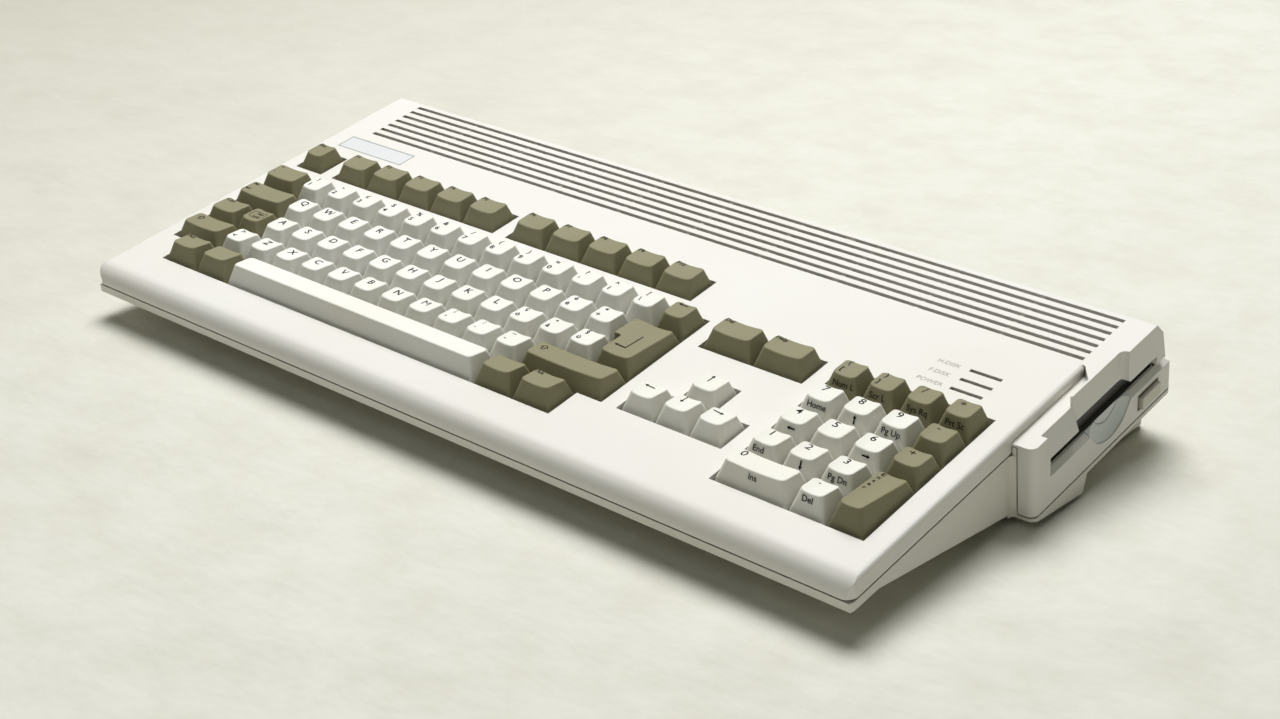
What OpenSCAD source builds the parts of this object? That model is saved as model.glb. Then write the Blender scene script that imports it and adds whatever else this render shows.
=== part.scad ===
// Wedge-shaped home computer with a built-in keyboard and a side disk drive.
// The sloped deck carries a frame of its own: X to the right, Y up the slope, Z off the deck.

/* [Case] */
// Deck from the outer key columns to the case's sides
side_margin = 11.1625; // [9.1625:0.5:26.1625]
// How far the drive bay stands out of the right side
bay_out = 10.8; // [10:0.2:14]
// Slope of the keyboard deck in degrees
slope = 9; // [8:0.5:10]
// Deck in front of the first key row
front_margin = 25; // [22:1:32]
// Deck from the first key row to its rear edge
deck_rear = 194.5; // [194:0.5:200]
// Level distance from the first key row to the rear face
rear_y = 214; // [212:0.5:220]
// Height of the top shell's rim below the deck
rim_h = 9.5; // [9:0.5:11]
// Wall thickness of both shells
wall = 2.5; // [2:0.1:2.8]
// Radius of the rounded front edge
front_r = 9; // [8:0.5:9]
// Radius of the long side edges
edge_r = 2.5; // [1.5:0.5:3]
// Radius of the corners seen from above
corner_r = 5; // [3:0.5:8]
// Open joint between the two shells
seam_gap = 0.8; // [0.4:0.1:1]
// Depth of the belly below the first key row at deck level
belly_drop = 30; // [30:0.5:36]
// How far the belly stands in from the sides
belly_inset = 20; // [16:1:24]
// Side clearance of the inner tongue at the joint
tongue_clear = 0.2; // [0.1:0.05:0.4]

/* [Keys] */
// Key pitch
pitch = 19.05; // [18.9:0.05:19.1]
// Gap between the number row and the function row
fn_gap = 10; // [9:0.5:11]
// Gap round the keys in their openings
key_gap = 0.5; // [0.4:0.1:1]
// Gap from a key's pitch line to its skirt
skirt_gap = 0.45; // [0.35:0.05:0.6]
// Taper of a key's sides
side_taper = 3.5; // [3:0.1:4]
// Taper of a key's front
front_taper = 5.2; // [4:0.1:6]
// Taper of a key's rear
rear_taper = 1.9; // [1:0.1:3]
// Depth of a skirt below the deck
skirt_drop = 2.5; // [2:0.1:2.8]
// Depth of the finger dish
dish = 0.9; // [0.5:0.1:1.2]
// Wall of a keycap
cap_wall = 1.3; // [1:0.1:1.5]
// Travel of a key
key_travel = 3.5; // [3:0.1:3.5]
// Side of a key's square stem
stem_w = 5; // [4.5:0.1:5.5]
// Clearance of a stem in its guide
stem_clear = 0.15; // [0.1:0.05:0.3]

/* [Keyboard base] */
// Depth of the key frame's top below the deck
frame_drop = 7; // [6.8:0.1:7.5]
// Thickness of the key frame
frame_t = 1.2; // [1:0.1:1.5]
// Height of a stem guide above the frame
guide_h = 2.5; // [2:0.1:3]
// Wall of a stem guide
guide_wall = 1.2; // [1:0.1:1.5]
// Gap between a stem and its rubber sleeve
sleeve_gap = 0.3; // [0.2:0.05:0.4]
// Wall of a rubber sleeve
sleeve_wall = 1.4; // [1:0.1:1.8]
// Thickness of the rubber sheet
sheet_t = 0.8; // [0.6:0.1:1]
// Thickness of the contact membrane
membrane_t = 0.3; // [0.2:0.05:0.4]
// Thickness of the steel backplate
backplate_t = 1.2; // [1:0.1:1.4]
// Margin of the key frame round the keys
frame_margin = 1; // [0.8:0.1:1.2]

/* [Vents and lamps] */
// Number of long vent slots
vent_count = 7; // [5:1:7]
// Distance between vent slots
vent_pitch = 5.88; // [5.5:0.05:5.9]
// Width of a vent slot
vent_w = 2.4; // [2:0.1:3]
// Deck left of the vent slots
vent_left = 20.2; // [18.2:1:30.2]
// From the slots' right ends to the bay's outer face
vent_right = 10.6; // [9.6:0.5:20.6]
// Number of ribs that bridge the vent slots
vent_ribs = 9; // [5:1:12]
// Thickness of a rib
vent_rib_t = 2; // [1.5:0.1:3]
// Length of a lamp slit
lamp_len = 16; // [12:0.5:18]
// Width of a lamp slit
lamp_w = 2; // [1.5:0.1:2.5]
// Distance between lamp slits
lamp_pitch = 7.9; // [7:0.1:9]

/* [Drive bay] */
// Place of the bay's front up the slope
bay_front = 90.5; // [89:0.5:91.5]
// Depth of the bay's skirt below the deck
bay_skirt = 40; // [40:0.5:42]
// Drop of the bay's ledge below the deck
ledge_drop = 4.7; // [4:0.1:5]
// How far the middle of the bay's face is set back
face_setback = 3.3; // [2:0.1:4]
// Width of the disk slot
disk_slot_w = 91.5; // [91:0.5:93]
// Height of the disk slot
disk_slot_h = 6.6; // [5:0.1:7]
// Depth of the slot's top below the deck
disk_slot_drop = 16.4; // [16:0.1:17]
// Place of the slot's middle up the slope
drive_mid = 149.5; // [149.2:0.1:149.8]
// Radius of the finger scoop
scoop_r = 19.7; // [16:0.1:20]
// Chamfer under the disk slot
slot_chamfer = 3; // [2:0.1:3.5]
// Width of the button opening
button_open_w = 18.5; // [18:0.5:21]
// Height of the button opening
button_open_h = 8.5; // [8:0.5:10]
// Clearance round the eject button
button_clear = 0.5; // [0.4:0.05:0.8]
// How far the eject button stands out of the bay
button_out = 2; // [1:0.1:3]
// Travel of the eject button
button_travel = 4; // [3:0.1:5]

/* [Disk drive] */
// Drive beside each end of the disk slot
drive_margin = 1.25; // [1:0.05:1.5]
// Length of the drive
drive_len = 139; // [135:1:142]
// Height of the drive
drive_h = 24; // [23:0.5:24.5]
// Sheet thickness of the drive's chassis and cover
drive_sheet = 1; // [0.8:0.1:1.2]
// Radius of the spindle hub
hub_r = 14; // [12:0.5:15]
// Travel of the head carriage
head_travel = 15; // [12:0.5:18]
// Diameter of the carriage rails
rail_d = 3; // [2.5:0.1:3.5]
// Diameter of the lead screw
lead_d = 4; // [3:0.1:4.5]
// Running clearance on rails, screw and shafts
run_clear = 0.05; // [0.03:0.01:0.08]
// Swing axis diameter of the dust flap
flap_pin_d = 1.6; // [1.2:0.1:1.8]

/* [Main board] */
// Thickness of the main board
board_t = 1.6; // [1.2:0.1:2]
// Height of the board over the belly's floor
board_lift = 3; // [2.5:0.1:3.5]
// Room between the main board and each side of the case
board_side = 23; // [22:0.5:25]
// Sheet thickness of the shields
shield_t = 0.5; // [0.4:0.1:0.8]
// Height of the upper shield over the board
shield_h = 8; // [7:0.5:9]

/* [Fasteners and feet] */
// Diameter of a case screw's shank
screw_d = 3; // [2.6:0.1:3.2]
// Clearance round a screw's shank in its tube
screw_clear = 0.2; // [0.15:0.05:0.4]
// Outer diameter of a screw tube
tube_d = 6.6; // [6.4:0.1:7]
// Diameter of a rubber foot
foot_d = 16; // [12:0.5:20]
// Height of a rubber foot under the belly
foot_h = 2; // [1.5:0.1:3]

/* [Hidden] */
$fn = 48;

key_units = 23.5;
keys_w = key_units * pitch;
body_w = keys_w + 2 * side_margin;
half_w = body_w / 2;
in_half = half_w - wall;
keys_x = -keys_w / 2;
fn_row_s = 5 * pitch + fn_gap;
keys_rear = fn_row_s + pitch;
eps = 0.01;

// A deck point (s up the slope, n off the deck) in level coordinates.
function level_y(s, n) = s * cos(slope) - n * sin(slope);
function level_z(s, n) = s * sin(slope) + n * cos(slope);
function yz(s, n) = [level_y(s, n), level_z(s, n)];

table_z = -belly_drop - foot_h;
front_y = level_y(-front_margin + front_r, -front_r) - front_r;
mid_y = (front_y + rear_y) / 2;

// Level parts stand with the table at Z 0 and the case in the middle.
module level() translate([-bay_out / 2, -mid_y, -table_z]) children();
// Deck parts tilt with the keyboard.
module tilted() level() rotate([slope, 0, 0]) children();
// A profile in the plane of Y and Z, pulled along X from x0 to x1.
module along_x(x0, x1) translate([x0, 0, 0]) rotate([90, 0, 90]) linear_extrude(x1 - x0) children();
// A profile in the plane of X and Z, pulled along Y from y0 to y1.
module along_y(y0, y1) translate([0, y1, 0]) rotate([90, 0, 0]) linear_extrude(y1 - y0) children();
module block(x0, x1, y0, y1, z0, z1) translate([x0, y0, z0]) cube([x1 - x0, y1 - y0, z1 - z0]);
module round_rect(x0, x1, y0, y1, r) {
    for (x = [x0 + r, x1 - r], y = [y0 + r, y1 - r]) translate([x, y]) circle(r);
    translate([x0 + r, y0]) square([x1 - x0 - 2 * r, y1 - y0]);
    translate([x0, y0 + r]) square([x1 - x0, y1 - y0 - 2 * r]);
}

// ---- Keys -------------------------------------------------------------------------------
// Height of a row's key tops in the middle, and their tilt, from the function row forwards.
top_h = [7.6, 8.1, 6.8, 6.4, 6.7, 7.7];
top_tilt = [0, 2, 4, 5, 8, 10];
top_t = 1.6;
function row_s(row) = row == 0 ? fn_row_s : (5 - row) * pitch;
function key_mid(row, rows) = row_s(row) + rows * pitch / 2;

// Side view of a keycap: k is how far it is drawn in, drop lowers its top.
module cap_side(row, rows, k, drop) {
    s0 = row_s(row);
    s1 = s0 + rows * pitch;
    mid = top_h[row] - drop;
    rise = tan(top_tilt[row]) * (rows * pitch - front_taper - rear_taper) / 2;
    polygon([[s0 + skirt_gap + k, -skirt_drop - (k > 0 ? 1 : 0)],
        [s1 - skirt_gap - k, -skirt_drop - (k > 0 ? 1 : 0)],
        [s1 - rear_taper - k, mid - rise], [s0 + front_taper + k, mid + rise]]);
}

// Front view of a keycap, from u0 over w key pitches.
module cap_front(u0, w, k) {
    x0 = keys_x + u0 * pitch;
    x1 = x0 + w * pitch;
    h = 12;
    taper = (side_taper - skirt_gap) * (h + skirt_drop) / (7.2 + skirt_drop);
    polygon([[x0 + skirt_gap + k, -skirt_drop - (k > 0 ? 1 : 0)],
        [x1 - skirt_gap - k, -skirt_drop - (k > 0 ? 1 : 0)],
        [x1 - skirt_gap - taper - k, h], [x0 + skirt_gap + taper + k, h]]);
}

module cap_solid(u0, w, row, rows, k, drop) intersection() {
    along_x(keys_x + u0 * pitch, keys_x + (u0 + w) * pitch) cap_side(row, rows, k, drop);
    along_y(row_s(row), row_s(row) + rows * pitch) cap_front(u0, w, k);
}

module cap_dish(u0, w, row, rows) {
    top_w = w * pitch - 2 * side_taper;
    r = (top_w * top_w / 4 + dish * dish) / (2 * dish);
    mid = row_s(row) + (rows * pitch + front_taper - rear_taper) / 2;
    translate([keys_x + (u0 + w / 2) * pitch, mid, top_h[row] - dish])
        rotate([90 - top_tilt[row], 0, 0]) translate([0, r, 0])
            cylinder(r = r, h = 3 * rows * pitch, center = true, $fn = 360);
}

// The stem runs in its guide and dips into the rubber sleeve when pressed.
stem_out = 0.2;
stem_end = -frame_drop - frame_t - stem_out;
module stem(x, s, top)
    block(x - stem_w / 2, x + stem_w / 2, s - stem_w / 2, s + stem_w / 2, stem_end, top);

// One key: u0 and w in key pitches, row 0 is the function row and row 5 the front one.
module key(u0, w, row, rows = 1, dished = true) {
    difference() {
        cap_solid(u0, w, row, rows, 0, 0);
        cap_solid(u0, w, row, rows, cap_wall, top_t + dish);
        if (dished) cap_dish(u0, w, row, rows);
    }
    stem(keys_x + (u0 + w / 2) * pitch, key_mid(row, rows), top_h[row] - top_t - dish);
}

module key_run(u0, count, w, row) for (i = [0:count - 1]) key(u0 + i * w, w, row);

olive = "#8f8a70";
ivory = "#f2f0ea";
module esc_key() color(olive) tilted() key(0, 1, 0);
module function_keys_left() color(olive) tilted() key_run(1.5, 5, 1.25, 0);
module function_keys_right() color(olive) tilted() key_run(8.25, 5, 1.25, 0);
module backquote_key() color(olive) tilted() key(0, 1.5, 1);
module number_keys() color(ivory) tilted() key_run(1.5, 13, 1, 1);
module backspace_key() color(olive) tilted() key(14.5, 1, 1);
module tab_key() color(olive) tilted() key(0, 2, 2);
module upper_letter_keys() color(ivory) tilted() key_run(2, 12, 1, 2);
module control_key() color(olive) tilted() key(0, 1.25, 3);
module caps_lock_key() color(olive) tilted() key(1.25, 1, 3);
module middle_letter_keys() color(ivory) tilted() key_run(2.25, 12, 1, 3);
module left_shift_key() color(olive) tilted() key(0, 1.75, 4);
module lower_letter_keys() color(ivory) tilted() key_run(1.75, 11, 1, 4);
module right_shift_key() color(olive) tilted() key(12.75, 2.75, 4);
module enter_key() color(olive) tilted() key(22.5, 1, 5, 2);
module alt_keys() color(olive) tilted() for (u = [0.75, 13.5]) key(u, 1.25, 5);
module command_keys() color(olive) tilted() for (u = [2, 12.25]) key(u, 1.25, 5);
module edit_keys() color(olive) tilted() key_run(16, 2, 1.5, 1);

// The return key is an angle over two rows, wider in the rear one.
return_u = 14.25;
return_w = 1.25;
return_rear_u = 14;
return_rear_w = 1.5;
module return_key() color(olive) tilted() {
    difference() {
        union() {
            cap_solid(return_u, return_w, 3, 2, 0, 0);
            cap_solid(return_rear_u, return_rear_w, 2, 1, 0, 0);
        }
        cap_solid(return_u, return_w, 3, 2, cap_wall, top_t + dish);
        cap_solid(return_rear_u, return_rear_w, 2, 1, cap_wall, top_t + dish);
        cap_dish(return_u, return_w, 3, 2);
    }
    stem(keys_x + (return_u + return_w / 2) * pitch, key_mid(3, 2), top_h[3] - top_t - dish);
}

// The space bar is flat on top and has a stem at the middle and near both ends.
space_u = 3.25;
space_w = 9;
space_stems = [-3.5, 0, 3.5];
module space_bar() color(ivory) tilted() {
    difference() {
        cap_solid(space_u, space_w, 5, 1, 0, 0);
        cap_solid(space_u, space_w, 5, 1, cap_wall, top_t);
    }
    for (u = space_stems)
        stem(keys_x + (space_u + space_w / 2 + u) * pitch, key_mid(5, 1), top_h[5] - top_t);
}

module cursor_keys() color(ivory) tilted() {
    key(17, 1, 3);
    key_run(16, 3, 1, 4);
}

module numpad_digit_keys() color(ivory) tilted() {
    for (row = [2:4]) key_run(19.5, 3, 1, row);
    key(19.5, 2, 5);
    key(21.5, 1, 5);
}

module numpad_sign_keys() color(olive) tilted() {
    key_run(19.5, 4, 1, 1);
    for (row = [2, 3]) key(22.5, 1, row);
}

// Where every stem stands: [u, s] of each, row by row.
function run_stems(u0, count, w, row) = [for (i = [0:count - 1]) [u0 + (i + 0.5) * w, key_mid(row, 1)]];
stems = concat(run_stems(0, 1, 1, 0), run_stems(1.5, 5, 1.25, 0), run_stems(8.25, 5, 1.25, 0),
    run_stems(0, 1, 1.5, 1), run_stems(1.5, 14, 1, 1), run_stems(16, 2, 1.5, 1), run_stems(19.5, 4, 1, 1),
    run_stems(0, 1, 2, 2), run_stems(2, 12, 1, 2), run_stems(19.5, 4, 1, 2),
    run_stems(0, 1, 1.25, 3), run_stems(1.25, 13, 1, 3), [[return_u + return_w / 2, key_mid(3, 2)]],
    run_stems(17, 1, 1, 3), run_stems(19.5, 4, 1, 3),
    run_stems(0, 1, 1.75, 4), run_stems(1.75, 11, 1, 4), run_stems(12.75, 1, 2.75, 4),
    run_stems(16, 3, 1, 4), run_stems(19.5, 3, 1, 4),
    run_stems(0.75, 2, 1.25, 5), run_stems(12.25, 2, 1.25, 5),
    [for (u = space_stems) [space_u + space_w / 2 + u, key_mid(5, 1)]],
    run_stems(19.5, 1, 2, 5), run_stems(21.5, 1, 1, 5), [[23, key_mid(5, 2)]]);

frame_top = -frame_drop;
frame_low = frame_top - frame_t;
press_room = 0.15;
sheet_low = stem_end - key_travel - press_room;
sheet_top = sheet_low + sheet_t;
sleeve_top = stem_end - sleeve_gap;
sleeve_r = stem_w * sqrt(0.5) + sleeve_gap;
membrane_low = sheet_low - membrane_t;
base_low = membrane_low - backplate_t;
base_x0 = keys_x - frame_margin;
base_x1 = -base_x0;
base_s0 = -frame_margin;
base_s1 = keys_rear + frame_margin;

// Outline of the keyboard's layers: the function row ends before the lamp board.
fn_end_u = 15;
module base_outline() {
    translate([base_x0, base_s0]) square([base_x1 - base_x0, 5 * pitch + 2 * frame_margin]);
    translate([base_x0, base_s0]) square([fn_end_u * pitch + frame_margin, base_s1 - base_s0]);
}

module keyboard_frame() color("#3b3a36") tilted() difference() {
    union() {
        translate([0, 0, frame_low]) linear_extrude(frame_t) base_outline();
        translate([0, 0, frame_top]) linear_extrude(guide_h) guides(stem_w + 2 * (stem_clear + guide_wall));
        frame_skirt();
    }
    translate([0, 0, frame_low - 1]) linear_extrude(guide_h + frame_t + 2) guides(stem_w + 2 * stem_clear);
}

module guides(side) for (p = stems)
    translate([keys_x + p[0] * pitch - side / 2, p[1] - side / 2]) square(side);

// A rim under the frame holds it off the rubber sheet.
module frame_skirt() translate([0, 0, sheet_top]) linear_extrude(frame_low - sheet_top) {
    translate([base_x0, base_s0]) square([base_x1 - base_x0, guide_wall]);
    for (x = [base_x0, base_x1 - guide_wall])
        translate([x, base_s0]) square([guide_wall, 5 * pitch + 2 * frame_margin]);
    translate([base_x0, base_s1 - guide_wall]) square([fn_end_u * pitch + frame_margin, guide_wall]);
}

module rubber_sheet() color("#b9bcae") tilted() difference() {
    union() {
        translate([0, 0, sheet_low]) linear_extrude(sheet_t) base_outline();
        translate([0, 0, sheet_low]) linear_extrude(sleeve_top - sheet_low) sleeves(sleeve_r + sleeve_wall);
    }
    translate([0, 0, sheet_low - 1]) linear_extrude(sleeve_top - sheet_low + 2) sleeves(sleeve_r);
}

module sleeves(r) for (p = stems) translate([keys_x + p[0] * pitch, p[1]]) circle(r, $fn = 24);

module membrane() color("#9fc4a8") tilted() translate([0, 0, membrane_low])
    linear_extrude(membrane_t) base_outline();

module keyboard_backplate() color("#a9acae") tilted() translate([0, 0, base_low])
    linear_extrude(backplate_t) base_outline();

// ---- Top shell --------------------------------------------------------------------------
// Rear edge of the deck: a bevel, then the rear wall leaning outwards.
rear_bevel_s = deck_rear + 5.6;
rear_bevel_n = -6.3;
rear_low_s = deck_rear + 8.6;
rear_low_n = -21.4;
shelf_s = deck_rear + 15.7;
shelf_n = -29;
rear_lean = (rear_low_s - rear_bevel_s) / (rear_bevel_n - rear_low_n);
function rear_s(n) = rear_bevel_s + (rear_bevel_n - n) * rear_lean;
// Where the upright rear face meets depth n of the deck's frame.
bay_rear = (rear_y - bay_skirt * sin(slope)) / cos(slope);

module deck_profile(k, low) {
    r = front_r - k;
    intersection() {
        union() {
            translate([-front_margin + front_r, -front_r]) circle(r, $fn = 64);
            polygon([[-front_margin + front_r, -k], [deck_rear - k / 2, -k],
                [rear_bevel_s - k, rear_bevel_n - k / 2], [rear_s(low) - k, low],
                [-front_margin + k, low], [-front_margin + k, -front_r],
                [-front_margin + front_r, -front_r]]);
        }
        translate([-front_margin, low]) square([deck_rear + front_margin + 40, -low]);
    }
}

module deck_section(k, low) intersection() {
    translate([-half_w + k, low]) square([body_w - 2 * k, -low - k]);
    union() {
        for (x = [-1, 1]) translate([x * (half_w - edge_r - k / 2), -edge_r - k]) circle(edge_r - k / 2);
        translate([-half_w + edge_r + k / 2, low]) square([body_w - 2 * edge_r - k, -low - k]);
        translate([-half_w + k, low]) square([body_w - 2 * k, -low - edge_r - k]);
    }
}

module deck_plan(k) round_rect(-half_w + k, half_w - k, -front_margin + k, deck_rear + 12 - k, corner_r - k);

module deck_body(k, low) intersection() {
    along_x(-half_w, half_w) deck_profile(k, low);
    along_y(-front_margin, deck_rear + 12) deck_section(k, low);
    translate([0, 0, low]) linear_extrude(-low) deck_plan(k);
}

// Openings that let the keys through.
module key_field(u0, u1, s0, s1)
    translate([keys_x + u0 * pitch - key_gap, s0 - key_gap])
        square([(u1 - u0) * pitch + 2 * key_gap, s1 - s0 + 2 * key_gap]);

module key_openings() translate([0, 0, -wall - 1]) linear_extrude(wall + 2) {
    key_field(0, 15.5, pitch, 5 * pitch);
    key_field(0.75, 14.75, 0, pitch);
    key_field(0, 1, fn_row_s, keys_rear);
    key_field(1.5, 7.75, fn_row_s, keys_rear);
    key_field(8.25, 14.5, fn_row_s, keys_rear);
    key_field(16, 19, 4 * pitch, 5 * pitch);
    key_field(16, 19, pitch, 2 * pitch);
    key_field(17, 18, 2 * pitch, 3 * pitch);
    key_field(19.5, 23.5, 0, 5 * pitch);
}

vent_first = 154.8;
vent_x0 = -half_w + vent_left;
vent_x1 = half_w + bay_out - vent_right;
module vents() {
    for (i = [0:vent_count - 1])
        block(vent_x0, vent_x1, vent_first + i * vent_pitch - vent_w / 2,
            vent_first + i * vent_pitch + vent_w / 2, -wall - 1, 1);
}

// Ribs cross under the slots, sunk below the deck.
module vent_bridges() {
    step = (vent_x1 - vent_x0) / (vent_ribs + 1);
    for (i = [1:vent_ribs]) {
        x = vent_x0 + i * step;
        block(x - vent_rib_t / 2, x + vent_rib_t / 2, vent_first - vent_w,
            vent_first + (vent_count - 1) * vent_pitch + vent_w, -wall, -wall / 2);
    }
}

lamp_x = half_w - 32;
lamp_s = 106.5;
module lamp_slits() for (i = [0:2])
    block(lamp_x - lamp_len / 2, lamp_x + lamp_len / 2, lamp_s + i * lamp_pitch - lamp_w / 2,
        lamp_s + i * lamp_pitch + lamp_w / 2, -wall - 1, 1);

badge_x0 = -half_w + 13;
badge_w = 49;
badge_s0 = 134;
badge_d = 12;
badge_t = 0.8;

// The drive bay, outer form.
bay_x = half_w + bay_out;
face_x = bay_x - face_setback;
bay_corner_r = 4;
raised_s = 127;
recess_end = 169.6;
skin_t = 1.1;
skin_x = face_x - skin_t;
bay_root = in_half - 0.5;
bay_wall = 2.6;
// How far the bay's rear wall reaches in past the side wall, and where its inside lies.
bay_reach = 6;
bay_in_rear = rear_low_s - bay_wall - 1.2;
drive_w = disk_slot_w + 2 * drive_margin;
drive_x1 = bay_x - bay_wall - 4.3;
drive_x0 = drive_x1 - drive_len;
module bay_profile(k) polygon([[bay_front + k, -ledge_drop - k], [raised_s + k, -ledge_drop - k],
    [raised_s + k, -k], [deck_rear - k / 2, -k], [rear_bevel_s - k, rear_bevel_n - k / 2],
    [rear_low_s - k, rear_low_n], [shelf_s - k, shelf_n], [bay_rear - k, -bay_skirt],
    [bay_front + k, -bay_skirt]]);

module bay_plan() {
    translate([bay_root, bay_front]) square([bay_x - bay_root - bay_corner_r, bay_rear + 2 - bay_front]);
    translate([bay_root, bay_front + bay_corner_r])
        square([bay_x - bay_root, bay_rear - bay_front - 2 * bay_corner_r]);
    for (s = [bay_front + bay_corner_r, bay_rear - bay_corner_r])
        translate([bay_x - bay_corner_r, s]) circle(bay_corner_r);
}

slot_low = -disk_slot_drop - disk_slot_h;
slot_s0 = drive_mid - disk_slot_w / 2;
slot_s1 = drive_mid + disk_slot_w / 2;
notch_s0 = 129.4;
notch_s1 = 168.7;
notch_n = -14.4;
scoop_s = 154.5;
scoop_n = -16.6;
button_s0 = 178.5;
button_n1 = -28.5;
pocket_s = 150.5;

module bay_cuts() {
    // Room for the bottom shell's flange.
    block(bay_root - 1, half_w + flange_out + 0.5, bay_front - 1, bay_front + bay_wall + 0.5, -bay_skirt - 1,
        flange_top + 0.4);
    // Set-back face over the slot, sloping at the front and upright behind.
    along_y(bay_front + 11, raised_s) polygon([[face_x, -ledge_drop + eps], [bay_x + eps, -disk_slot_drop],
        [bay_x + 2, -disk_slot_drop], [bay_x + 2, 1], [face_x, 1]]);
    translate([0, 0, -disk_slot_drop - 1]) linear_extrude(disk_slot_drop + 2) {
        translate([face_x, raised_s - eps])
            square([face_setback + 2, recess_end - face_setback - raised_s + eps]);
        translate([bay_x, recess_end - face_setback]) circle(face_setback);
    }
    // Disk slot with its finger notch, chamfer and scoop.
    block(bay_x - bay_wall - 1, bay_x + 1, slot_s0, slot_s1, slot_low, -disk_slot_drop);
    along_x(skin_x - 1, bay_x + 1) polygon([[notch_s0 - 2.5, slot_low],
        [notch_s0 - 2.5, notch_n - 2], [notch_s0, notch_n], [notch_s1, notch_n],
        [notch_s1 + 2.5, notch_n - 2], [notch_s1 + 2.5, slot_low]]);
    along_y(slot_s0, bay_rear + 1) polygon([[bay_x - slot_chamfer, slot_low],
        [bay_x - slot_chamfer, slot_low + 2], [bay_x + 1, slot_low + 2],
        [bay_x + 1, slot_low - slot_chamfer - 1]]);
    intersection() {
        translate([bay_x - bay_wall - 1, scoop_s, scoop_n]) rotate([0, 90, 0])
            cylinder(r = scoop_r, h = bay_wall + 2);
        block(bay_x - bay_wall - 2, bay_x + 2, slot_s0, slot_s1, -bay_skirt, slot_low + 1);
    }
    // Opening of the eject button.
    block(bay_x - bay_wall - 1, bay_x + 1, button_s0, button_s0 + button_open_w,
        button_n1 - button_open_h, button_n1);
}

// Pocket between the side wall and the bay's raised skin.
module bay_pocket() translate([0, 0, -ledge_drop]) linear_extrude(ledge_drop + 1)
    polygon([[bay_root - 1, raised_s - 1], [skin_x, raised_s - 1], [skin_x, pocket_s - 8.5],
        [half_w, pocket_s], [bay_root - 1, pocket_s]]);

bay_roof = ledge_drop + wall;
module bay_room() {
    block(in_half - 8, bay_x - bay_wall, bay_front + bay_wall, bay_in_rear, -bay_skirt - 1, -disk_slot_drop);
    // Narrower behind the set-back face.
    block(in_half - 8, skin_x, bay_front + bay_wall, bay_in_rear, -bay_skirt - 1, -bay_roof);
}
// Rear wall of the bay, reaching in to the bottom shell's rear wall.
module bay_return() intersection() {
    along_x(bay_root - bay_reach + seam_gap, bay_root + 1) bay_profile(0);
    block(bay_root - bay_reach, bay_root + 2, bay_in_rear - 1, bay_rear + 5, -bay_skirt - 1, -rim_h + 1);
}

// Screw tubes: [x, y, level of the split between the two shells' tubes].
tube_x = half_w - 6;
rear_post = [drive_x0 - 15.9, 190];
tubes = [[-tube_x, 6, -9], [tube_x, 6, -9], [-tube_x, 78, -6], [tube_x, 74, -6],
    [-tube_x, 188, 0], [rear_post[0], rear_post[1], 0]];
pilot_d = 2.5;

module top_tubes() for (t = tubes)
    translate([t[0], t[1], t[2]]) cylinder(d = tube_d, h = 60);
module top_pilots() for (t = tubes)
    translate([t[0], t[1], t[2] - 1]) cylinder(d = pilot_d, h = 8);

module top_case() color("#ece7da") difference() {
    union() {
        tilted() difference() {
            union() {
                difference() {
                    deck_body(0, -rim_h);
                    translate([0, 0, -eps]) deck_body(wall, -rim_h - 1);
                    key_openings();
                    vents();
                    lamp_slits();
                    block(badge_x0, badge_x0 + badge_w, badge_s0, badge_s0 + badge_d, -badge_t, 1);
                    bay_room();
                }
                vent_bridges();
                difference() {
                    union() {
                        intersection() {
                            along_x(bay_root, bay_x) bay_profile(0);
                            translate([0, 0, -bay_skirt - 1]) linear_extrude(bay_skirt + 2) bay_plan();
                        }
                        bay_return();
                    }
                    bay_pocket();
                    bay_room();
                    bay_cuts();
                }
            }
        }
        intersection() {
            level() top_tubes();
            tilted() deck_body(wall / 2, -rim_h - 10);
        }
    }
    level() top_pilots();
}

module badge_plate() color("#d8d5cb") tilted()
    translate([0, 0, -badge_t]) linear_extrude(badge_t)
        round_rect(badge_x0 + 0.1, badge_x0 + badge_w - 0.1, badge_s0 + 0.1, badge_s0 + badge_d - 0.1, 1);

// ---- Bottom shell -----------------------------------------------------------------------
lip_drop = 5;
seam_n = -rim_h - seam_gap;
kink_s = -6.7;
// The sides end a little over the belly.
side_lift = 0.4;
heel_y = 126;
floor_z = -belly_drop + wall;
recess_d = 6;
recess_x = half_w - 12;
recess_z0 = -27;
recess_z1 = 1;
port_y = rear_y - recess_d;
shelf_z = level_z(shelf_s, shelf_n);

module hull_side(k) polygon([yz(-front_margin + k, seam_n + 1), yz(-front_margin + k, -rim_h - lip_drop + k),
    yz(kink_s, -rim_h - lip_drop - 0.3 + k), [heel_y, -belly_drop + side_lift + k],
    [rear_y - k, -belly_drop + side_lift + k],
    [rear_y - k, shelf_z - k], [level_y(rear_low_s, rear_low_n) - k, level_z(rear_low_s, rear_low_n) - k],
    yz(rear_s(seam_n) - k, seam_n + 1)]);

module hull_plan(k)
    round_rect(-half_w + k, half_w - k, level_y(-front_margin, seam_n) + k - 2, rear_y - k, corner_r);

module hull_body(k) {
    intersection() {
        along_x(-half_w + k, half_w - k) hull_side(k);
        translate([0, 0, -belly_drop - 1]) linear_extrude(80) hull_plan(k);
    }
}

belly_y0 = 20;
belly_y1 = rear_y - 6;
module belly(k) along_x(-half_w + belly_inset + k, half_w - belly_inset - k)
    polygon([[belly_y0 - 12 + k, -12], [belly_y0 + k, -belly_drop + k],
        [belly_y1 - k, -belly_drop + k], [belly_y1 - k, -12]]);

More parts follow.
